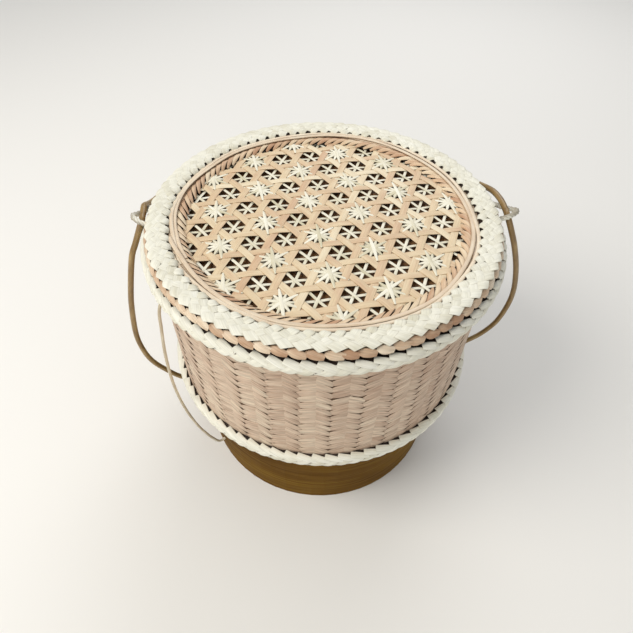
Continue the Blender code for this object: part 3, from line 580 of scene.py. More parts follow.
class StripMaster:
    """A closed straight strip of unit size, modelled once and copied for every strand.

    It runs from 0 to 1 along X, has rings between its two ends, and its sides lie round a unit circle.
    Its flat form has a level top and underside with rounded edges.
    """

    made: dict[tuple[int, int], "StripMaster"] = {}
    edge_roundness = 0.45

    def __init__(self, rings: int, sides: int) -> None:
        """Model the strip with operators.

        Args:
            rings: Rings between the two ends.
            sides: Sides round the strip.
        """
        bpy.ops.object.select_all(action="DESELECT")
        bpy.ops.mesh.primitive_cylinder_add(vertices=sides, radius=1.0, depth=1.0, end_fill_type="NGON",
                                            location=(0.5, 0.0, 0.0), rotation=(0.0, 0.5 * math.pi, 0.0))
        self.piece = bpy.context.object
        self.piece.name = f"strip_master_{rings}_{sides}"
        bpy.ops.object.transform_apply(location=True, rotation=True, scale=True)
        bpy.ops.object.mode_set(mode="EDIT")
        bpy.ops.mesh.select_mode(type="EDGE")
        bpy.ops.mesh.select_all(action="DESELECT")
        bpy.ops.object.mode_set(mode="OBJECT")
        for edge in self.piece.data.edges:
            ends = [self.piece.data.vertices[i].co.x for i in edge.vertices]
            edge.select = abs(ends[0] - ends[1]) > 0.5
        bpy.ops.object.mode_set(mode="EDIT")
        bpy.ops.mesh.subdivide(number_cuts=rings)
        bpy.ops.object.mode_set(mode="OBJECT")
        bpy.ops.object.shade_smooth()
        mesh = self.piece.data
        points = corners(mesh)
        turn = np.arctan2(points[:, 2], points[:, 1]) + math.pi / sides
        self.along = points[:, 0].copy()
        self.across = np.cos(turn)
        self.above = np.sin(turn)
        share = np.abs(self.across) / np.abs(self.across).max()
        self.flat_across = np.sign(self.across) * share ** self.edge_roundness
        self.flat_above = self.above / np.abs(self.above).max()
        # rim: share of painted shade, none on the strip's top and all on its underside
        rim = np.clip(0.5 - 0.5 * self.flat_above, 0.0, 1.0)
        mesh.attributes.new("grain", "FLOAT_VECTOR", "POINT")
        mesh.attributes.new("rim", "FLOAT", "POINT")
        mesh.attributes["rim"].data.foreach_set("value", rim.astype(np.float32))

    @classmethod
    def get(cls, rings: int, sides: int = 8) -> "StripMaster":
        """Master of one kind, modelled on first use.

        Args:
            rings: Rings between the two ends.
            sides: Sides round the strip.

        Returns:
            The master.
        """
        if (rings, sides) not in cls.made:
            cls.made[(rings, sides)] = cls(rings, sides)
        return cls.made[(rings, sides)]

    @classmethod
    def clear(cls) -> None:
        """Remove the masters, which only their copies needed."""
        for master in cls.made.values():
            bpy.data.objects.remove(master.piece, do_unlink=True)
        cls.made.clear()

    def copy_to(self, points: np.ndarray, grain: np.ndarray) -> bpy.types.Object:
        """Copy the strip with its own mesh.

        Args:
            points: Place of each vertex in metres.
            grain: Length along, length across and tone at each vertex.

        Returns:
            The copy, linked to the scene.
        """
        piece = self.piece.copy()
        piece.data = self.piece.data.copy()
        piece.data.vertices.foreach_set("co", points.astype(np.float32).ravel())
        piece.data.attributes["grain"].data.foreach_set("vector", grain.astype(np.float32).ravel())
        bpy.context.scene.collection.objects.link(piece)
        return piece


def join(name: str, copies: list[bpy.types.Object], finish: Finish) -> bpy.types.Object:
    """Join copies of strips to one piece and dress it.

    Args:
        name: Name of the piece.
        copies: Strips to join.
        finish: Their finish.

    Returns:
        The joined piece, at the origin.
    """
    only(copies[0])
    for copy in copies:
        copy.select_set(True)
    if len(copies) > 1:
        bpy.ops.object.join()
    piece = copies[0]
    piece.name = name
    piece.data.name = name
    piece.data.materials.clear()
    piece.data.materials.append(materials.of(finish))
    only(piece)
    bpy.ops.object.shade_smooth_by_angle(angle=STRIP_SMOOTH)
    log.info("%s: %d strips, %d faces", name, len(copies), len(piece.data.polygons))
    return piece


class RoundSurface:
    """Surface turned about the basket's axis from an outline."""

    def __init__(self, outline: list[tuple[float, float]], reference: float) -> None:
        """Smooth the outline.

        Args:
            outline: (distance from axis, height) knots, in the order strands cross them.
            reference: Radius at which lengths along the ring are measured.
        """
        self.reference = reference
        path = curve_through(outline, 12)
        self.run = lengths(path)
        self.radii, self.heights = path[:, 0], path[:, 1]
        slope = directions(path, self.run)
        self.out_r, self.out_z = -slope[:, 1], slope[:, 0]
        self.width = float(self.run[-1])

    def place(self, a: np.ndarray, b: np.ndarray, h: np.ndarray) -> np.ndarray:
        """Points on or above the surface, which runs on straight past both ends of its outline.

        Args:
            a: Lengths along the ring at the reference radius.
            b: Lengths across, from the first knot.
            h: Heights off the surface.

        Returns:
            Places in metres, one row each.
        """
        inside = np.clip(b, 0.0, self.width)
        beyond = b - inside
        out_r, out_z = np.interp(inside, self.run, self.out_r), np.interp(inside, self.run, self.out_z)
        radius = np.interp(inside, self.run, self.radii) + beyond * out_z + h * out_r
        height = np.interp(inside, self.run, self.heights) - beyond * out_r + h * out_z
        turn = a / self.reference
        return in_frame(np.stack([radius * np.cos(turn), radius * np.sin(turn), height], -1))

    def across(self, radius: float, height: float) -> float:
        """Length across at the outline's nearest point to a radius and a height."""
        return float(self.run[np.argmin((self.radii - radius) ** 2 + (self.heights - height) ** 2)])


class FlatSurface:
    """Level surface at one height over the basket's axis."""

    def __init__(self, height: float) -> None:
        """Set the height."""
        self.height = height

    def place(self, a: np.ndarray, b: np.ndarray, h: np.ndarray) -> np.ndarray:
        """Points in metres, from X and Y about the axis and height off the level."""
        return in_frame(np.stack([a, b, self.height + h], -1))


@dataclass(frozen=True)
class Strip:
    """One flat strip laid on a surface. Its two ends are lengths along and across that surface."""

    start: tuple[float, float] = (0.0, 0.0)
    end: tuple[float, float] = (1.0, 0.0)
    half_width: float = 1.0
    thickness: float = 0.4
    crown: float = 0.0
    sink_start: float = 0.0
    sink_end: float = 0.0
    taper_start: float = 0.0
    taper_end: float = 0.0
    taper_share: float = 0.4
    dome: float = 0.35
    bow: float = 0.0
    tilt: float = 0.0
    lift: float = 0.0
    cut_end: float = 0.0
    wave: float = 0.0
    wave_length: float = 1.0
    wave_start: float = 0.0
    tone: float = 0.5
    rings: int = 5

    def lay(self, surface: RoundSurface | FlatSurface) -> bpy.types.Object:
        """Copy the master strip and lay it on a surface.

        Args:
            surface: What the strip lies on.

        Returns:
            The laid copy.
        """
        master = StripMaster.get(self.rings)
        start, end = np.array(self.start), np.array(self.end)
        length = float(np.linalg.norm(end - start))
        way = (end - start) / length
        s, across = master.along, master.flat_across
        near = np.clip(1.0 - s / self.taper_share, 0.0, 1.0)
        far = np.clip(1.0 - (1.0 - s) / self.taper_share, 0.0, 1.0)
        half = self.half_width * (1.0 - self.taper_start * near ** 2 - self.taper_end * far ** 2)
        offset = across * half
        run = s * length + offset * self.cut_end * s
        aside = offset + self.bow * np.sin(math.pi * s)
        a = start[0] + way[0] * run - way[1] * aside
        b = start[1] + way[1] * run + way[0] * aside
        h = self.lift + self.crown * np.sin(math.pi * s) + self.tilt * across
        h -= self.sink_start * (1.0 - s) ** 3 + self.sink_end * s ** 3
        h += self.wave * np.cos(math.tau * (s * length - self.wave_start) / self.wave_length)
        h += 0.5 * self.thickness * master.flat_above * (1.0 - self.dome * across ** 2)
        # The tone also moves a strip's place in the fibre pattern
        shift = 97.0 * self.tone
        grain = np.stack([(run + shift) * MM, offset * MM, np.full_like(s, self.tone)], -1)
        return master.copy_to(surface.place(a, b, h), grain)


def sweep(name: str, path: np.ndarray, radius: float, finish: Finish, tone: float = 0.5,
          sides: int = 12) -> bpy.types.Object:
    """Round cane along a route of points.

    Args:
        name: Name of the piece.
        path: Points about the basket's axis, one row each.
        radius: Radius of the cane.
        finish: Its finish.
        tone: Place of its colour between dark and pale.
        sides: Sides round the cane.

    Returns:
        The cane, with closed ends.
    """
    run = lengths(path)
    # About one ring for every 2.2 mm of cane
    master = StripMaster.get(min(99, max(12, int(run[-1] / 2.2))), sides)
    way = directions(path, run)
    up = np.array([0.0, 0.0, 1.0]) if abs(way[0][2]) < 0.9 else np.array([1.0, 0.0, 0.0])
    ups = np.empty_like(way)
    for number, direction in enumerate(way):
        up = up - direction * float(up @ direction)
        up = up / np.linalg.norm(up)
        ups[number] = up
    at = master.along * run[-1]
    side, top = sampled(at, run, np.cross(ups, way)), sampled(at, run, ups)
    points = sampled(at, run, path) + radius * (side * master.across[:, None] + top * master.above[:, None])
    girth = np.abs(np.arctan2(master.above, master.across)) * radius
    grain = np.stack([at * MM, girth * MM, np.full_like(at, tone)], -1)
    return join(name, [master.copy_to(in_frame(points), grain)], finish)


def turned(name: str, outline: list[tuple[float, float]], finish: Finish,
           facets: int = 120) -> bpy.types.Object:
    """Ring spun about the basket's axis.

    Args:
        name: Name of the piece.
        outline: Closed outline of (distance from axis, height) corners.
        finish: Its finish.
        facets: Facets round the ring.

    Returns:
        The closed ring.
    """
    centre = (AXIS_X * MM, AXIS_Y * MM, 0.0)
    ring = in_frame(np.array([(radius, 0.0, height) for radius, height in outline]))
    count = len(outline)
    mesh = bpy.data.meshes.new(name)
    mesh.from_pydata(ring.tolist(), [(i, (i + 1) % count) for i in range(count)], [])
    piece = bpy.data.objects.new(name, mesh)
    bpy.context.scene.collection.objects.link(piece)
    only(piece)
    bpy.ops.object.mode_set(mode="EDIT")
    bpy.ops.mesh.select_all(action="SELECT")
    bpy.ops.mesh.spin(steps=facets, angle=math.tau, center=centre, axis=(0.0, 0.0, 1.0))
    bpy.ops.mesh.select_all(action="SELECT")
    bpy.ops.mesh.remove_doubles(threshold=1e-6)
    bpy.ops.mesh.normals_make_consistent(inside=False)
    bpy.ops.object.mode_set(mode="OBJECT")
    points = corners(mesh)
    turn = np.arctan2(points[:, 1] - centre[1], points[:, 0] - centre[0])
    # Lengths round the ring are those at a radius of 85 mm
    grain = np.stack([turn * 85.0 * MM, points[:, 2], np.full(len(points), 0.5)], -1)
    marks = mesh.attributes.new("grain", "FLOAT_VECTOR", "POINT")
    marks.data.foreach_set("vector", grain.astype(np.float32).ravel())
    mesh.attributes.new("rim", "FLOAT", "POINT")
    mesh.materials.append(materials.of(finish))
    bpy.ops.object.shade_smooth_by_angle(angle=RING_SMOOTH)
    log.info("%s: turned, %d faces", name, len(mesh.polygons))
    return piece


@dataclass
class StrandRow:
    """One row of slanting strands round a ring, copies of one strand with a hand's unevenness."""

    first: float
    last: float
    run_along: float
    lean: Lean
    strand: Strip
    phase: float = 0.0
    tone_spread: float = 0.08

    def strips(self, count: int, reference: float, luck: np.random.RandomState) -> list[Strip]:
        """Strands of the row.

        Args:
            count: Strands round the ring.
            reference: Radius at which lengths along the ring are measured.
            luck: Seeded source of the unevenness.

        Returns:
            One strip for each strand.
        """
        pitch = math.tau * reference / count
        lean, strand = self.lean.value, self.strand
        made = []
        for number in range(count):
            middle = pitch * (number + self.phase) + luck.normal(0.0, 0.05 * pitch)
            swing = 0.5 * self.run_along * lean * (1.0 + luck.normal(0.0, 0.04))
            made.append(replace(
                strand,
                start=(middle - swing, self.first + luck.normal(0.0, 0.10)),
                end=(middle + swing, self.last + luck.normal(0.0, 0.10)),
                half_width=strand.half_width * (1.0 + luck.normal(0.0, 0.05)),
                crown=strand.crown * (1.0 + luck.normal(0.0, 0.12)),
                tone=float(np.clip(strand.tone + luck.normal(0.0, self.tone_spread), 0.02, 0.98)),
                bow=strand.bow * lean,
                tilt=strand.tilt * lean,
                cut_end=strand.cut_end * lean,
            ))
        return made


@dataclass
class Plait:
    """Ring of slanting strands in rows, with or without a core of painted shade under them."""

    name: str
    node: str
    body: Body
    finish: StripFinish
    seed: int
    reference: float
    outline: list[tuple[float, float]]
    core: list[tuple[float, float]] | None = None
    core_finish: StripFinish = SHADED_PALE
    count: int = 78
    facets: int = 120

    def __post_init__(self) -> None:
        """Smooth the surface that the strands lie on."""
        self.surface = RoundSurface(self.outline, self.reference)

    def build(self, rows: list[StrandRow]) -> None:
        """Lay every strand, turn the core, and hang both on their body.

        Args:
            rows: Rows of strands, in the order in which they are laid.
        """
        luck = np.random.RandomState(self.seed)
        copies = []
        for row in rows:
            copies += [strip.lay(self.surface) for strip in row.strips(self.count, self.reference, luck)]
        pieces = [join(self.name, copies, self.finish)]
        stand_for(self.node)
        if self.core:
            pieces.append(turned(f"{self.name}_core", self.core, self.core_finish, self.facets))
        for piece in pieces:
            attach(piece, self.body.value)


@dataclass
class EdgePlaits:
    """Plaits on the lid's top edge, round its side, on the basket's rim and round its base.

    Those on rim and base have the same three rows: an upper one, a middle one that leans the other way
    and makes a row of Vs with it, and one tucked under.
    """

    top_inner: Strip = Strip(half_width=2.35, thickness=0.6, crown=0.4, sink_start=0.4, sink_end=0.3,
                             taper_start=0.6, bow=0.3, tone=0.45)
    top_middle: Strip = Strip(half_width=2.2, crown=0.14, sink_start=0.3, sink_end=0.3, taper_start=0.3,
                              taper_end=0.3, tilt=0.10)
    top_outer: Strip = Strip(half_width=2.6, crown=0.16, sink_start=0.3, sink_end=0.1, taper_start=0.35,
                             tilt=0.16, cut_end=-0.62)
    side: Strip = Strip(half_width=2.15, thickness=0.5, crown=0.22, sink_start=0.5, taper_start=0.65,
                        taper_end=0.15, tilt=0.30)
    upper: Strip = Strip(half_width=1.75, thickness=0.6, crown=0.15, sink_start=-0.2, sink_end=0.35,
                         taper_end=0.2, bow=-0.2, tilt=0.30, tone=0.6)
    middle: Strip = Strip(half_width=2.0, thickness=0.5, crown=0.22, sink_start=0.4, sink_end=0.3,
                          taper_start=0.3, taper_end=0.35, tilt=0.24)
    under: Strip = Strip(half_width=1.6, thickness=0.5, crown=0.2, sink_start=0.5, sink_end=0.4,
                         taper_start=0.3, taper_end=0.3, tone=0.4)

    def lid_top(self) -> None:
        """Wide pale plait on the lid's top edge, in four rows."""
        plait = Plait(
            "lid_top_plait", "lid_top_braid", Body.LID, PALE_CANE, 11, 84.0,
            outline=[(77.5, 170.2), (77.9, 171.4), (79.2, 172.1), (82.0, 172.5), (85.0, 172.7),
                     (87.4, 172.7), (88.7, 172.4), (89.3, 171.8)],
            core=[(79.5, 169.9), (87.3, 170.3), (87.4, 171.6), (85.0, 172.1), (81.2, 171.9), (80.0, 171.3)])
        inner = plait.surface.across(80.8, 172.3)
        middle = plait.surface.across(82.8, 172.6)
        outer = plait.surface.across(84.8, 172.7)
        plait.build([
            StrandRow(0.6, inner + 0.5, 3.2, Lean.CLOCKWISE, self.top_inner),
            StrandRow(inner - 0.5, middle + 0.5, 5.0, Lean.ANTICLOCKWISE, self.top_middle, 0.5),
            StrandRow(middle - 0.5, outer + 0.6, 5.0, Lean.CLOCKWISE, self.top_middle, 0.1),
            StrandRow(outer - 0.6, plait.surface.width - 1.0, 5.6, Lean.ANTICLOCKWISE,
                      self.top_outer, 0.55),
        ])

    def lid_side(self) -> None:
        """Brown plait round the lid's side, of which one row shows."""
        plait = Plait(
            "lid_brown_plait", "lid_brown_braid", Body.LID, BROWN_CANE, 12, 89.5,
            outline=[(88.0, 171.5), (89.0, 170.9), (89.6, 169.9), (89.8, 168.8), (89.6, 167.6),
                     (89.1, 167.0)],
            core=[(84.6, 166.75), (87.4, 166.75), (88.4, 168.0), (88.5, 169.6), (87.8, 170.4),
                  (84.6, 170.4)],
            core_finish=SHADED_CORE)
        plait.build([
            StrandRow(0.8, plait.surface.width - 2.0, 7.8, Lean.ANTICLOCKWISE, self.side, 0.45, 0.24),
        ])

    def basket_rim(self) -> None:
        """Pale plait on the basket's rim, just under the lid."""
        plait = Plait(
            "basket_rim_plait", "body_rim_braid", Body.BASKET, PALE_CANE, 13, 92.0,
            outline=[(87.3, 165.9), (89.4, 165.95), (91.1, 165.6), (92.2, 164.6), (92.7, 163.2),
                     (92.7, 161.5), (92.1, 160.1), (90.8, 159.3), (88.9, 159.0)],
            core=[(87.8, 159.6), (91.0, 159.8), (91.9, 161.2), (92.2, 162.6), (91.9, 163.8), (91.0, 164.6),
                  (90.4, 164.4), (87.8, 164.4)])
        ridge = plait.surface.across(92.7, 162.8)
        lower = plait.surface.across(92.2, 160.2)
        plait.build([
            StrandRow(2.75, ridge - 1.0, 9.0, Lean.ANTICLOCKWISE, self.upper, 0.34),
            StrandRow(ridge - 2.7, lower + 0.6, 9.6, Lean.CLOCKWISE, self.middle, 0.05, 0.10),
            StrandRow(lower - 0.3, plait.surface.width - 0.2, 7.4, Lean.ANTICLOCKWISE, self.under, 0.2),
        ])

    def basket_base(self) -> None:
        """Pale plait over the joint of wall and foot."""
        plait = Plait(
            "basket_base_plait", "base_braid", Body.BASKET, PALE_CANE, 14, 90.0,
            outline=[(87.9, 79.6), (89.4, 79.4), (90.5, 78.5), (91.0, 77.0), (91.1, 75.4), (90.8, 73.4),
                     (90.1, 71.7), (88.4, 70.6), (85.0, 70.3), (82.0, 70.2)],
            core=[(81.4, 70.6), (86.0, 71.2), (88.6, 71.6), (89.8, 73.6), (90.3, 75.6), (90.1, 76.8),
                  (89.2, 77.4), (86.4, 75.0), (86.4, 71.8), (81.4, 71.3)])
        ridge = plait.surface.across(91.0, 75.6)
        lower = plait.surface.across(90.4, 72.2)
        plait.build([
            StrandRow(0.9, ridge - 1.9, 10.6, Lean.ANTICLOCKWISE, replace(self.upper, half_width=1.65)),
            StrandRow(ridge - 3.0, lower + 0.8, 9.6, Lean.CLOCKWISE, self.middle, 0.6, 0.10),
            StrandRow(lower - 0.5, plait.surface.across(86.5, 70.4), 8.0, Lean.ANTICLOCKWISE,
                      replace(self.under, sink_end=0.6, tone=0.42), 0.2),
        ])

    def shade(self, plait: str, body: Body, outline: list[tuple[float, float]]) -> None:
        """Dark ring of painted shade inside a plait, seen only through the gaps between its strands."""
        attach(turned(f"{plait}_shade", outline, SHADED_CORE), body.value)

    def build(self) -> None:
        """Plait every edge."""
        self.lid_top()
        self.shade("lid_top_plait", Body.LID, [(78.3, 169.9), (79.6, 169.9), (79.6, 171.6), (78.6, 171.0)])
        self.lid_side()
        self.basket_rim()
        self.shade("basket_rim_plait", Body.BASKET,
                   [(85.2, 164.8), (90.6, 164.6), (90.4, 165.1), (85.2, 165.3)])
        self.basket_base()
        self.shade("basket_base_plait", Body.BASKET,
                   [(86.6, 77.4), (89.6, 77.4), (89.2, 78.3), (86.6, 78.9)])


@dataclass
class TwillWall:
    """Herringbone wall: floats that climb and floats that fall, side by side in upright columns.

    A float's tucks say how far its start and its end reach beyond its column's corners, along the ring
    and down the wall.
    """

    radius: float = 86.9
    low: float = 76.0
    high: float = 163.5
    columns: int = 36
    first_line: float = math.radians(-90.75)
    top_margin: float = 1.5
    row_height: float = 5.0
    rise: float = 3.2
    drop: float = 5.0
    turn_share: float = 0.65
    seed: int = 21
    climbing: Strip = Strip(half_width=2.75, crown=0.22, sink_start=0.35, sink_end=0.3, taper_start=0.45,
                            taper_end=0.05, bow=-0.6, tilt=-0.08, rings=6)
    climbing_tucks: tuple = ((1.1, 0.4), (1.8, 0.3))
    falling: Strip = Strip(half_width=2.45, crown=0.22, sink_start=0.2, sink_end=0.4, taper_start=0.05,
                           taper_end=0.6, bow=-0.8, tilt=-0.08, rings=6)
    falling_tucks: tuple = ((-1.6, 0.0), (2.1, 0.4))
    core: tuple = ((86.0, 71.6), (86.5, 71.6), (86.5, 164.6), (86.0, 164.6))

    def floats(self) -> list[Strip]:
        """Every float of the wall.

        Returns:
            Strips, column by column, each from the rim down.
        """
        luck = np.random.RandomState(self.seed)
        pitch = math.tau * self.radius / self.columns
        rows = int((self.high - self.low) / self.row_height) + 1
        row_tones = luck.normal(0.5, 0.06, rows + 2)
        column_tones = luck.normal(0.0, 0.07, self.columns)
        made = []
        for column in range(self.columns):
            left = self.radius * self.first_line + pitch * column
            turn, right = left + pitch * self.turn_share, left + pitch
            drift = luck.normal(0.0, 0.6)
            for row in range(rows):
                middle = self.top_margin + self.row_height * row + drift + luck.normal(0.0, 0.25)
                foot, crest = middle + 0.5 * self.rise, middle - 0.5 * self.rise
                shade = row_tones[row] + column_tones[column]
                for strand, tucks, start, end in (
                        (self.climbing, self.climbing_tucks, (left, foot), (turn, crest)),
                        (self.falling, self.falling_tucks, (turn, crest), (right, crest + self.drop))):
                    made.append(replace(strand, start=tuple(np.add(start, tucks[0])),
                                        end=tuple(np.add(end, tucks[1])), tone=uneven(luck, shade, 0.07)))
        return made

    def build(self) -> None:
        """Weave the wall over its core, a layer of painted shade that shows through the slits."""
        surface = RoundSurface([(self.radius, self.high), (self.radius, self.low)], self.radius)
        wall = join("wall_weave", [strip.lay(surface) for strip in self.floats()], WALL_BAMBOO)
        stand_for("outer_wall")
        for made in (wall, turned("wall_weave_core", list(self.core), SHADED_WALL)):
            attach(made, Body.BASKET.value)


@dataclass
class StarPanel:
    """Openwork panel: tan strips in three directions leave six-sided openings.

    Thin pale strips cross in every opening. In one opening of three, longer ones pass over the tan
    strips too and make a star.
    """

    radius: float = 72.6
    shortest_half: float = 6.0
    star_margin: float = 1.5
    tan_strip: Strip = Strip(half_width=1.8, thickness=0.42, wave=0.24, rings=70)
    tan_depth: float = 0.15
    filler: Strip = Strip(half_width=1.9, thickness=0.3, rings=1)
    filler_half: float = 2.4
    filler_depth: float = 0.62
    thin_strip: Strip = Strip(half_width=0.74, thickness=0.3, wave=0.2, rings=70)
    thin_depths: tuple[float, float, float] = (1.35, 1.05, 0.75)
    ray: Strip = Strip(crown=0.45, sink_start=0.3, sink_end=0.3, taper_start=0.55, taper_end=0.55, rings=7)
    ray_depth: float = 0.05
    ray_step: float = 0.12
    seed: int = 31

    def __post_init__(self) -> None:
        """Work out the weave's directions and its grid."""
        self.gap = 0.5 * STAR_SPACING
        self.step = STAR_SPACING / math.sqrt(3.0)
        self.ways = [self.way(30.0 + 60.0 * number) for number in range(3)]
        self.sides = [np.array([-way[1], way[0]]) for way in self.ways]
        self.middle = np.array(STAR_CENTRE)
        self.luck = np.random.RandomState(self.seed)

    def way(self, degrees: float, stray: float = 0.0) -> np.ndarray:
        """Unit direction at some degrees from a long ray's, and strayed by some radians."""
        angle = STAR_TURN + math.radians(degrees) + stray
        return np.array([math.cos(angle), math.sin(angle)])

    def stars(self) -> list[np.ndarray]:
        """Middles of the stars.

        Returns:
            Places about the basket's axis, some of them up to 4 mm past the panel's edge.
        """
        found = []
        for row in range(-14, 15):
            for column in range(-14, 15):
                spot = self.middle + self.step * (row * self.ways[0] + column * self.ways[1])
                if (row - column) % 3 == 0 and np.linalg.norm(spot) < self.radius + 4.0:
                    found.append(spot)
        return found

    def line(self, number: int, offset: float) -> tuple[np.ndarray, np.ndarray, float] | None:
        """Ends of a straight line across the round panel.

        Args:
            number: Which of the three directions.
            offset: Distance from the star at the panel's middle.

        Returns:
            Start, end and length from the line's foot to the start, or None if it is too short.
        """
        way = self.ways[number]
        foot = self.middle + self.sides[number] * offset
        near = float(foot @ way)
        clear = self.radius ** 2 - float(foot @ foot) + near ** 2
        if clear < self.shortest_half ** 2:
            return None
        reach = math.sqrt(clear)
        return foot + way * (-near - reach), foot + way * (-near + reach), -near - reach

    def tan_strips(self) -> list[bpy.types.Object]:
        """Wide tan strips, each over one direction and under the other.

        Returns:
            The laid strips.
        """
        surface = FlatSurface(PANEL_TOP - self.tan_depth)
        copies = []
        for number in range(3):
            over = self.sides[(number + 1) % 3]
            meet, slant = float(self.sides[number] @ over), float(self.ways[number] @ over)
            for row in range(-7, 7):
                offset = self.gap * (row + 0.5)
                ends = self.line(number, offset)
                if ends is None:
                    continue
                crossing = (0.5 * self.gap - offset * meet) / slant
                strip = replace(self.tan_strip, start=tuple(ends[0]), end=tuple(ends[1]),
                                wave_length=self.step, wave_start=crossing - ends[2],
                                tone=uneven(self.luck, 0.5, 0.24))
                copies.append(strip.lay(surface))
        return copies

    def fillers(self, stars: list[np.ndarray]) -> list[bpy.types.Object]:
        """Ends of strips that close the small three-cornered gaps from below.

        Args:
            stars: Middles of the stars.

        Returns:
            The laid strips.
        """
        surface = FlatSurface(PANEL_TOP - self.filler_depth)
        copies = []
        for star in stars:
            for turn in range(6):
                way = self.way(60.0 * turn)
                middle = star + way * self.step / math.sqrt(3.0)
                if np.linalg.norm(middle) < self.radius:
                    half = way * self.filler_half
                    strip = replace(self.filler, start=tuple(middle - half), end=tuple(middle + half),
                                    tone=uneven(self.luck, 0.4, 0.2))
                    copies.append(strip.lay(surface))
        return copies

    def thin_strips(self) -> list[bpy.types.Object]:
        """Thin pale strips that run from opening to opening and cross in each.

        Returns:
            The laid strips.
        """
        copies = []
        for number, depth in enumerate(self.thin_depths):
            surface = FlatSurface(PANEL_TOP - depth)
            for row in range(-6, 7):
                ends = self.line(number, self.gap * row + self.luck.normal(0.0, 0.12))
                if ends is None:
                    continue
                strip = replace(self.thin_strip, start=tuple(ends[0]), end=tuple(ends[1]),
                                wave_length=self.step, wave_start=-ends[2],
                                tone=uneven(self.luck, 0.5, 0.18))
                copies.append(strip.lay(surface))
        return copies

    def star_rays(self, stars: list[np.ndarray]) -> list[bpy.types.Object]:
        """Rays of every star: long ones over the tan strips, shorter ones between, and a close heart.

        Args:
            stars: Middles of the stars.

        Returns:
            The laid rays.
        """
        surface = FlatSurface(PANEL_TOP - self.ray_depth)
        # Each ray and the one opposite are one strip: degrees, half length, half width, extra crown
        plan = [(15.0 + 30.0 * n, 3.9, 0.55, -0.1) for n in range(6)]
        plan += [(30.0 + 60.0 * n, 6.6, 0.82, 0.0) for n in range(3)]
        plan += [(60.0 * n, 9.0, 0.9, 0.1) for n in range(3)]
        copies = []
        for star in stars:
            if np.linalg.norm(star) > self.radius - self.star_margin:
                continue
            for number, (degrees, reach, half, extra) in enumerate(plan):
                way = self.way(degrees, self.luck.normal(0.0, 0.035))
                way = way * reach * (1.0 + self.luck.normal(0.0, 0.035))
                middle = star + self.luck.normal(0.0, 0.15, 2)
                strip = replace(self.ray, start=tuple(middle - way), end=tuple(middle + way),
                                half_width=half, crown=self.ray.crown + extra,
                                lift=self.ray_step * (number % 3), tone=uneven(self.luck, 0.5, 0.2))
                copies.append(strip.lay(surface))
        return copies

    def build(self) -> None:
        """Weave the panel and hang it on the lid."""
        stars = self.stars()
        tan = join("panel_tan_weave", self.tan_strips() + self.fillers(stars), TAN_BAMBOO)
        thin = join("panel_thin_strips", self.thin_strips(), STAR_CANE)
        rays = join("panel_stars", self.star_rays(stars), STAR_CANE)
        stand_for("lid_star_panel")
        for made in (tan, thin, rays):
            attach(made, Body.LID.value)


@dataclass(frozen=True)
class Hoop:
    """One loose flat hoop. Its knots are turn in degrees, distance from the axis and height."""

    name: str
    node: str
    half_width: float
    tone: float
    knots: tuple


HOOPS = (
    Hoop("flat_hoop_inner", "lid_cane_hoop_inner", 1.05, 0.5, (
        (193.3, 78.2, 171.5), (198.5, 76.2, 171.5), (204.0, 75.0, 171.5), (215.0, 74.6, 171.3),
        (226.0, 74.6, 171.2), (243.0, 75.2, 171.2), (256.0, 75.4, 171.1), (273.0, 74.6, 171.0),
        (290.0, 75.4, 171.0), (306.0, 76.2, 171.1), (316.0, 75.6, 171.2), (327.0, 75.0, 171.3),
        (338.0, 75.0, 171.3), (350.0, 74.8, 171.2), (366.0, 73.8, 171.1), (385.0, 74.2, 171.0),
        (405.0, 74.6, 171.0), (425.0, 76.4, 171.1), (445.0, 75.8, 171.2), (459.0, 74.0, 171.2),
        (477.0, 74.7, 171.1), (493.0, 75.8, 171.1), (505.0, 74.7, 171.2), (522.0, 76.6, 171.2),
        (538.0, 76.0, 171.0), (552.0, 74.2, 170.7), (566.0, 73.2, 170.5))),
    Hoop("flat_hoop_middle", "lid_cane_hoop_middle", 1.0, 0.62, (
        (203.0, 78.6, 170.7), (212.0, 77.8, 171.0), (221.0, 76.9, 171.2), (243.0, 76.8, 171.2),
        (251.0, 77.8, 171.1), (262.0, 77.2, 171.1), (276.0, 77.2, 171.1), (292.0, 77.9, 171.1),
        (306.0, 78.3, 171.2), (318.0, 77.2, 171.3), (330.0, 77.9, 171.4), (342.0, 77.9, 171.4),
        (352.0, 76.2, 171.4), (366.0, 75.6, 171.4), (382.0, 76.6, 171.3), (400.0, 76.8, 171.3),
        (415.0, 78.0, 171.3), (432.0, 78.2, 171.2), (447.0, 77.7, 171.2), (462.0, 76.4, 171.2),
        (478.0, 76.6, 171.2), (492.0, 77.8, 171.1), (508.0, 77.0, 171.0), (526.0, 77.0, 171.3),
        (537.0, 77.8, 171.4), (546.0, 76.4, 171.4), (556.0, 75.4, 170.9), (568.0, 76.4, 170.5))),
    Hoop("flat_hoop_outer", "lid_cane_hoop_outer", 1.1, 0.42, (
        (160.0, 78.6, 169.9), (185.0, 77.2, 170.1), (215.0, 76.2, 170.1), (245.0, 78.2, 170.1),
        (270.0, 78.6, 170.1), (300.0, 77.4, 170.1), (322.0, 79.0, 170.2), (340.0, 76.6, 170.2),
        (365.0, 77.9, 170.2), (395.0, 78.4, 170.1), (425.0, 75.2, 170.1), (450.0, 78.9, 170.2),
        (475.0, 75.2, 170.1), (495.0, 78.0, 170.0), (513.0, 78.6, 169.8))),
)


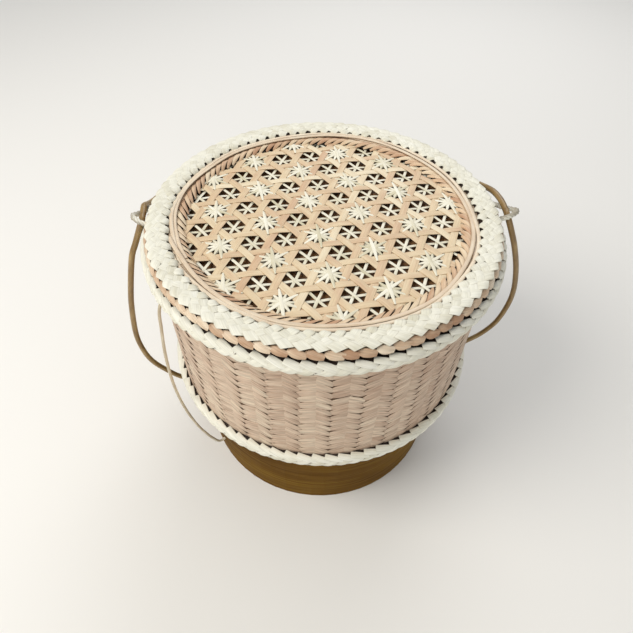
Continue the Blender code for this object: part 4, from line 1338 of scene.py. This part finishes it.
@dataclass
class LidBands:
    """What frames the panel: the turned-back strips, the wrapped band and three loose hoops."""

    hoops: tuple[Hoop, ...] = HOOPS
    hoop_half_thickness: float = 0.42
    hoop_dome: float = 0.4
    hoop_reference: float = 75.0
    hoop_points: int = 400
    hoop_ease: int = 23

    def twisted(self) -> None:
        """Slanting turned-back strips round the panel's edge."""
        plait = Plait("panel_edge_twist", "lid_twisted_band", Body.LID, TWIST_CANE, 41, 72.5,
                      outline=[(69.2, 168.6), (70.4, 169.4), (72.0, 169.9), (73.8, 169.9), (75.2, 169.3)],
                      core=[(70.6, 168.2), (75.0, 168.2), (75.0, 168.9), (72.8, 169.3), (71.2, 168.9)],
                      core_finish=SHADED_CORE, count=96, facets=96)
        strand = Strip(half_width=1.12, thickness=0.55, crown=0.3, sink_start=0.4, sink_end=0.2,
                       taper_start=0.5, taper_end=0.2, bow=0.6, tilt=0.28)
        plait.build([StrandRow(0.1, plait.surface.width, 11.5, Lean.CLOCKWISE, strand, tone_spread=0.22)])

    def wrapped(self) -> None:
        """Thin strips wound on the slant between the hoops and the plait."""
        plait = Plait("lid_wrapping", "lid_wrapped_band", Body.LID, TWIST_CANE, 42, 77.0,
                      outline=[(74.4, 168.9), (75.4, 169.15), (77.0, 169.25), (79.0, 169.2), (80.5, 169.0)],
                      count=140)
        strand = Strip(half_width=1.5, crown=0.15, sink_start=0.1, tilt=0.15)
        plait.build([StrandRow(0.0, plait.surface.width, 4.6, Lean.CLOCKWISE, strand, tone_spread=0.24)])

    def bend(self, hoop: Hoop) -> None:
        """Bend one thin cane that strays as it goes round.

        Args:
            hoop: Its names, width, tone and knots.
        """
        master = StripMaster.get(99)
        knots = np.array(hoop.knots)
        run = np.radians(knots[:, 0])
        at = run[0] + (run[-1] - run[0]) * master.along
        fine = np.linspace(run[0], run[-1], self.hoop_points)
        kernel = np.hanning(self.hoop_ease)
        kernel /= kernel.sum()
        middles = []
        for values in knots.T[1:]:
            padded = np.pad(np.interp(fine, run, values), self.hoop_ease // 2, mode="edge")
            middles.append(np.interp(at, fine, np.convolve(padded, kernel, "valid")))
        across = hoop.half_width * master.flat_across
        radius = middles[0] + across
        dome = 1.0 - self.hoop_dome * master.flat_across ** 2
        height = middles[1] + self.hoop_half_thickness * master.flat_above * dome
        points = np.stack([radius * np.cos(at), radius * np.sin(at), height], -1)
        grain = np.stack([self.hoop_reference * at * MM, across * MM, np.full_like(at, hoop.tone)], -1)
        piece = join(hoop.name, [master.copy_to(in_frame(points), grain)], HOOP_CANE)
        stand_for(hoop.node)
        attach(piece, Body.LID.value)

    def build(self) -> None:
        """Lay the bands and the three hoops."""
        self.twisted()
        self.wrapped()
        for hoop in self.hoops:
            self.bend(hoop)


@dataclass
class CordEye:
    """Loop of three-ply twisted cord that the cane is threaded through.

    The half of the loop towards the front rises and the other half dips, so that the cane passes under
    the one and over the other. The tip is 1 where the route starts at the back, else -1.
    """

    name: str
    node: str
    turn: float
    reach: float
    tip: float
    half_length: float = 7.4
    seat_radius: float = 90.3
    seat_out: float = 0.3
    root_depth: float = 0.8
    edge_radius: float = 90.8
    below_hinge: float = 0.6
    dip: float = 2.4
    rise: float = 1.3
    plies: int = 3
    ply_radius: float = 0.88
    ply_offset: float = 0.7
    lay_length: float = 6.96

    def route(self) -> np.ndarray:
        """Middle line of the cord.

        Returns:
            Points about the basket's axis, from one root of the loop to the other.
        """
        seat = math.sqrt(self.seat_radius ** 2 - self.half_length ** 2) + self.seat_out
        about_axis = Matrix.Rotation(self.turn, 3, "Z")
        points = []
        for swing in np.linspace(0.0, math.pi, 49):
            out = seat - self.root_depth + (self.edge_radius - seat + self.reach) * math.sin(swing)
            give = math.sin(2.0 * swing) * self.tip
            height = HINGE_HEIGHT - self.below_hinge - (self.dip if give > 0.0 else self.rise) * give
            points.append(tuple(about_axis @ Vector((out, self.half_length * math.cos(swing), height))))
        return np.array(points)

    def build(self) -> None:
        """Twist the plies along the loop and hang it on the lid."""
        path = self.route()
        run = lengths(path)
        at = np.linspace(0.0, run[-1], 120)
        centre, ahead = sampled(at, run, path), sampled(at, run, directions(path, run))
        up = np.array([0.0, 0.0, 1.0])
        side = np.cross(up, ahead)
        side /= np.linalg.norm(side, axis=1)[:, None]
        copies = []
        for ply in range(self.plies):
            swing = math.tau * (at / self.lay_length + ply / self.plies)
            offset = self.ply_offset * (side * np.cos(swing)[:, None] + up * np.sin(swing)[:, None])
            copies.append(sweep(f"{self.name}_ply_{ply}", centre + offset, self.ply_radius, PALE_CANE,
                                tone=0.62 + 0.08 * ply, sides=8))
        piece = join(self.name, copies, PALE_CANE)
        stand_for(self.node)
        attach(piece, Body.LID.value)


@dataclass(frozen=True)
class CaneSide:
    """One side of the handle.

    The bow has a share of the way down, a distance out and degrees aside for each knot of the leg. The
    fall has distances behind the hinge point with heights above it, for the arch behind its eye.
    """

    name: str
    sign: float
    inset: float
    over_cord: float
    hole_turn: float
    bow: tuple
    fall: tuple


LEFT_SIDE = CaneSide(
    "left", -1.0, 2.6, 0.1, math.radians(185.0),
    bow=((0.070, 4.6, 6.2), (0.130, 8.9, 7.0), (0.290, 16.4, 5.7), (0.420, 21.5, 4.7), (0.600, 26.6, 3.3),
         (0.730, 27.1, 2.2), (0.820, 24.6, 1.5), (0.905, 18.3, 0.8), (0.955, 13.2, 0.4), (0.985, 7.5, 0.0)),
    fall=((9.0, -1.0), (12.0, -2.9), (16.0, -5.0), (21.0, -6.7), (28.0, -7.9), (38.0, -8.8)))
RIGHT_SIDE = CaneSide(
    "right", 1.0, 0.0, 0.8, math.radians(5.0),
    bow=((0.065, 4.4, -4.5), (0.150, 10.6, -4.4), (0.280, 18.8, -3.7), (0.425, 26.0, -2.9),
         (0.545, 29.3, -2.3), (0.670, 29.8, -1.7), (0.745, 27.8, -1.3), (0.815, 23.2, -0.9),
         (0.860, 17.4, -0.7), (0.915, 10.6, -0.4), (0.965, 5.5, -0.1)),
    fall=((9.5, 0.7), (13.0, 0.5), (17.0, -0.1), (22.0, -1.6), (27.0, -3.4), (33.0, -5.1), (42.0, -6.8)))


@dataclass
class CaneHandle:
    """Round cane: its two legs from foot to eye, the arch behind the lid, and the thin stay."""

    radius: float = 1.6
    knot_steps: int = 24
    point_gap: float = 1.6
    threading_rise: float = 0.8
    threading_run: float = 7.2
    inset_run: float = 15.0
    crown_drop: float = 11.5
    arch_knots: int = 12
    hole_height: float = 35.0
    hole_lead: float = 4.0
    hole_depth: float = 4.8
    stay_radius: float = 0.8
    stay_start: tuple = (89.7, math.radians(210.0), 158.0)
    stay_hole: tuple = (math.radians(214.0), 18.0)
    stay_bow: tuple = (
        (0.060, 3.6, 0.0), (0.130, 5.5, 0.0), (0.250, 8.6, 0.0), (0.380, 10.8, 0.0), (0.500, 11.6, 0.0),
        (0.640, 11.1, 0.0), (0.780, 8.8, 0.0), (0.880, 5.8, 0.0), (0.945, 3.2, 0.0),
    )

    def threading(self, along: float) -> float:
        """Height of the cane above its hinge point, at a distance behind it."""
        share = max(-1.0, min(1.0, along / self.threading_run))
        return self.threading_rise * math.sin(0.5 * math.pi * share)

    def stations(self) -> list[float]:
        """Distances from the hinge point at which the cane's climb through an eye is set."""
        return [self.threading_run * share for share in (0.0, 0.25, 0.5, 0.75)]

    def foot_point(self, turn: float, height: float, out: float = 0.0) -> np.ndarray:
        """Point on the outside of the foot, or some way out from it."""
        return around(FOOT_GROUND_RADIUS + FOOT_FLARE * height / FOOT_HEIGHT + out, turn, height)

    def down_to_foot(self, start: np.ndarray, bow: tuple, hole: tuple[float, float]) -> list[np.ndarray]:
        """Knots of a bent cane from its upper end into its hole in the foot.

        Args:
            start: Its upper end.
            bow: Share of the way down, distance out and degrees aside, for each knot.
            hole: Turn and height of the hole.

        Returns:
            The knots after the upper end.
        """
        through = self.foot_point(*hole, self.hole_lead)
        start_turn = math.atan2(start[1], start[0]) % math.tau
        through_turn = math.atan2(through[1], through[0]) % math.tau
        swing = (through_turn - start_turn + math.pi) % math.tau - math.pi
        start_radius, through_radius = math.hypot(start[0], start[1]), math.hypot(through[0], through[1])
        knots = []
        for share, out, turn in bow:
            radius = start_radius + (through_radius - start_radius) * share + out
            height = start[2] + (through[2] - start[2]) * share
            knots.append(around(radius, start_turn + swing * share + math.radians(turn), height))
        return knots + [through, self.foot_point(*hole), self.foot_point(*hole, -self.hole_depth)]

    def cane(self, name: str, node: str, knots: list[np.ndarray], radius: float, finish: Finish,
             sides: int = 12) -> bpy.types.Object:
        """Bend a round cane smoothly through knots.

        Args:
            name: Name of the piece.
            node: CAD node that it stands for.
            knots: Points that it goes through.
            radius: Its radius.
            finish: Its finish.
            sides: Sides round it.

        Returns:
            The cane.
        """
        path = curve_through(knots, self.knot_steps)
        run = lengths(path)
        even = np.linspace(0.0, run[-1], max(8, int(run[-1] / self.point_gap)))
        piece = sweep(name, sampled(even, run, path), radius, finish, sides=sides)
        stand_for(node)
        return piece

    def leg(self, side: CaneSide) -> None:
        """Bend one leg, between the foot and its eye.

        Args:
            side: The side that it is on.
        """
        top = np.array((side.sign * (HINGE_RADIUS - side.inset), HINGE_SETBACK, HINGE_HEIGHT))
        knots = [top + (0.0, -along, self.threading(-along)) for along in self.stations()]
        knots += self.down_to_foot(top, side.bow, (side.hole_turn, self.hole_height))
        piece = self.cane(f"cane_leg_{side.name}", f"handle_leg_{side.name}", knots, self.radius,
                          HANDLE_CANE)
        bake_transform(piece)

    def half_arch(self, side: CaneSide) -> list[np.ndarray]:
        """Knots of one half of the arch.

        Args:
            side: The side that it is on.

        Returns:
            Points from the eye to the middle of the back.
        """
        depth = HINGE_RADIUS - HINGE_SETBACK
        route = [(along, self.threading(along)) for along in self.stations()]
        route += [(self.threading_run, side.over_cord), *side.fall]
        first_along, first_height = side.fall[-1]
        first = math.asin(first_along / depth)
        for step in range(1, self.arch_knots + 1):
            along = depth * math.sin(first + (0.5 * math.pi - first) * step / self.arch_knots)
            share = (along - first_along) / (depth - first_along)
            route.append((along, first_height - (self.crown_drop + first_height) * share))
        knots = []
        for along, height in route:
            reach = HINGE_RADIUS - side.inset * max(0.0, 1.0 - along / self.inset_run)
            out = math.sqrt(max(0.0, reach ** 2 - (along + HINGE_SETBACK) ** 2))
            knots.append(np.array((side.sign * out, along + HINGE_SETBACK, HINGE_HEIGHT + height)))
        return knots

    def arch(self) -> None:
        """Bend the arch, which passes through each eye and then drops behind the lid's edge."""
        knots = self.half_arch(RIGHT_SIDE) + self.half_arch(LEFT_SIDE)[-2::-1]
        piece = self.cane("cane_arch", "handle_arch", knots, self.radius, HANDLE_CANE)
        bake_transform(piece)

    def stay(self) -> None:
        """Bend the thin stay from under the rim down into the foot."""
        start = around(*self.stay_start)
        knots = [start] + self.down_to_foot(start, self.stay_bow, self.stay_hole)
        piece = self.cane("thin_stay", "stay_cane", knots, self.stay_radius, STAY_CANE, 8)
        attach(piece, Body.BASKET.value)

    def build(self) -> None:
        """Bend every cane."""
        self.leg(LEFT_SIDE)
        self.leg(RIGHT_SIDE)
        self.arch()
        self.stay()


@dataclass
class ShownFrame:
    """CAD nodes that still show, under the finish that each gets."""

    finishes: tuple = (
        (PALM_STALK, ("foot_ring",)),
        (BAMBOO_SLAT, ("foot_scarf_peg_upper", "foot_scarf_peg_lower", "cross_slat_side",
                       "cross_slat_front")),
        (FLOOR_WEAVE, ("floor_weave",)),
        (WALL_WEAVE, ("inner_wall", "lid_collar")),
        (LINING_WEAVE, ("lid_lining",)),
        (SPLIT_CANE, ("base_hoop", "body_rim_hoop", "lid_rim_hoop", "handle_knot_left", "handle_knot_right",
                      "stay_knot", "floor_stitch_1", "floor_stitch_2", "floor_stitch_3", "floor_stitch_4")),
    )

    def build(self) -> None:
        """Give every node its finish."""
        for finish, names in self.finishes:
            for name in names:
                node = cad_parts[name]
                if not node.material_slots:
                    node.data.materials.append(materials.of(finish))
                for slot in node.material_slots:
                    slot.material = materials.of(finish)
            log.info("%s: %s", finish.name, ", ".join(names))


@dataclass
class Studio:
    """Camera at the photograph's place, a pale floor and soft light."""

    pitch: float = 48.9
    yaw: float = -0.83
    roll: float = -1.0
    spin: float = -3.5
    camera_back: float = 210.1122
    camera_up: float = 160.4952
    lid_height: float = 173.0
    focal_px: float = 511.05
    shift_px: float = -2.5
    frame_px: float = 633.0
    sensor: float = 36.0

    def camera(self) -> None:
        """Make the camera that was fitted to the photograph."""
        pitch, yaw, roll = (math.radians(angle) for angle in (self.pitch, self.yaw, self.roll))
        ahead = Vector((math.sin(yaw) * math.cos(pitch), math.cos(yaw) * math.cos(pitch), -math.sin(pitch)))
        right = ahead.cross(Vector((0.0, 0.0, 1.0))).normalized()
        down = ahead.cross(right)
        right, down = (math.cos(roll) * right + math.sin(roll) * down,
                       -math.sin(roll) * right + math.cos(roll) * down)
        turn = Matrix.Rotation(math.radians(self.spin), 3, "Z")
        basis = Matrix((turn @ right, turn @ -down, turn @ -ahead)).transposed()
        place = turn @ Vector((0.0, -self.camera_back, self.camera_up))
        place = (place + Vector((AXIS_X, AXIS_Y, self.lid_height))) * MM
        data = bpy.data.cameras.new("photo_camera")
        camera = bpy.data.objects.new("photo_camera", data)
        bpy.context.scene.collection.objects.link(camera)
        camera.matrix_world = Matrix.Translation(place) @ basis.to_4x4()
        data.sensor_width = self.sensor
        data.lens = self.focal_px / self.frame_px * self.sensor
        data.shift_y = self.shift_px / self.frame_px
        data.clip_start, data.clip_end = 0.01, 20.0
        data.dof.use_dof = False
        bpy.context.scene.camera = camera

    def floor(self) -> None:
        """Lay the pale floor on which the basket's shadow falls."""
        bpy.ops.object.select_all(action="DESELECT")
        bpy.ops.mesh.primitive_plane_add(size=6.0, location=(0.0, 0.0, 0.0))
        plane = bpy.context.object
        plane.name = "floor"
        plane.data.materials.append(materials.of(PALE_BOARD))

    def lamp(self, name: str, place: tuple, size: float, power: float, colour: str) -> None:
        """Hang a large soft lamp that looks at the middle of the basket.

        Args:
            name: Name of the lamp.
            place: Its place in metres.
            size: Its width in metres.
            power: Its power in watts.
            colour: Hex code of its light.
        """
        data = bpy.data.lights.new(name, "AREA")
        data.shape = "DISK"
        data.size = size
        data.energy = power
        data.color = linear(colour)[:3]
        lamp = bpy.data.objects.new(name, data)
        lamp.location = place
        lamp.rotation_euler = (Vector((0.0, 0.0, 0.09)) - Vector(place)).to_track_quat("-Z", "Y").to_euler()
        bpy.context.scene.collection.objects.link(lamp)

    def light(self) -> None:
        """Soft key from the upper left, weak fill, and a pale world."""
        self.lamp("key_lamp", (-0.75, -0.25, 0.95), 0.7, 8.5, "#FFFBF4")
        self.lamp("back_lamp", (0.25, 0.8, 0.9), 0.8, 4.5, "#FDFDFF")
        self.lamp("front_lamp", (-0.1, -1.15, 0.4), 0.8, 2.6, "#FFFDF8")
        world = bpy.data.worlds.new("studio_world")
        bpy.context.scene.world = world
        world.use_nodes = True
        back = world.node_tree.nodes["Background"]
        back.inputs["Color"].default_value = linear("#F4F6F8")
        back.inputs["Strength"].default_value = 0.48
        bpy.context.scene.view_settings.view_transform = "Standard"

    def build(self) -> None:
        """Set up everything round the basket."""
        self.camera()
        self.floor()
        self.light()


def main() -> None:
    """Build the basket's looks over its CAD frame."""
    logging.basicConfig(level=logging.INFO, format="%(name)s: %(message)s")
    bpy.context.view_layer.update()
    Studio().build()
    ShownFrame().build()
    TwillWall().build()
    EdgePlaits().build()
    StarPanel().build()
    LidBands().build()
    CordEye("cord_eye_left", "lid_eye_left", math.radians(177.4), 8.0, -1.0).build()
    CordEye("cord_eye_right", "lid_eye_right", math.radians(2.8), 11.6, 1.0).build()
    CaneHandle().build()
    StripMaster.clear()


if __name__ == "__main__":
    main()
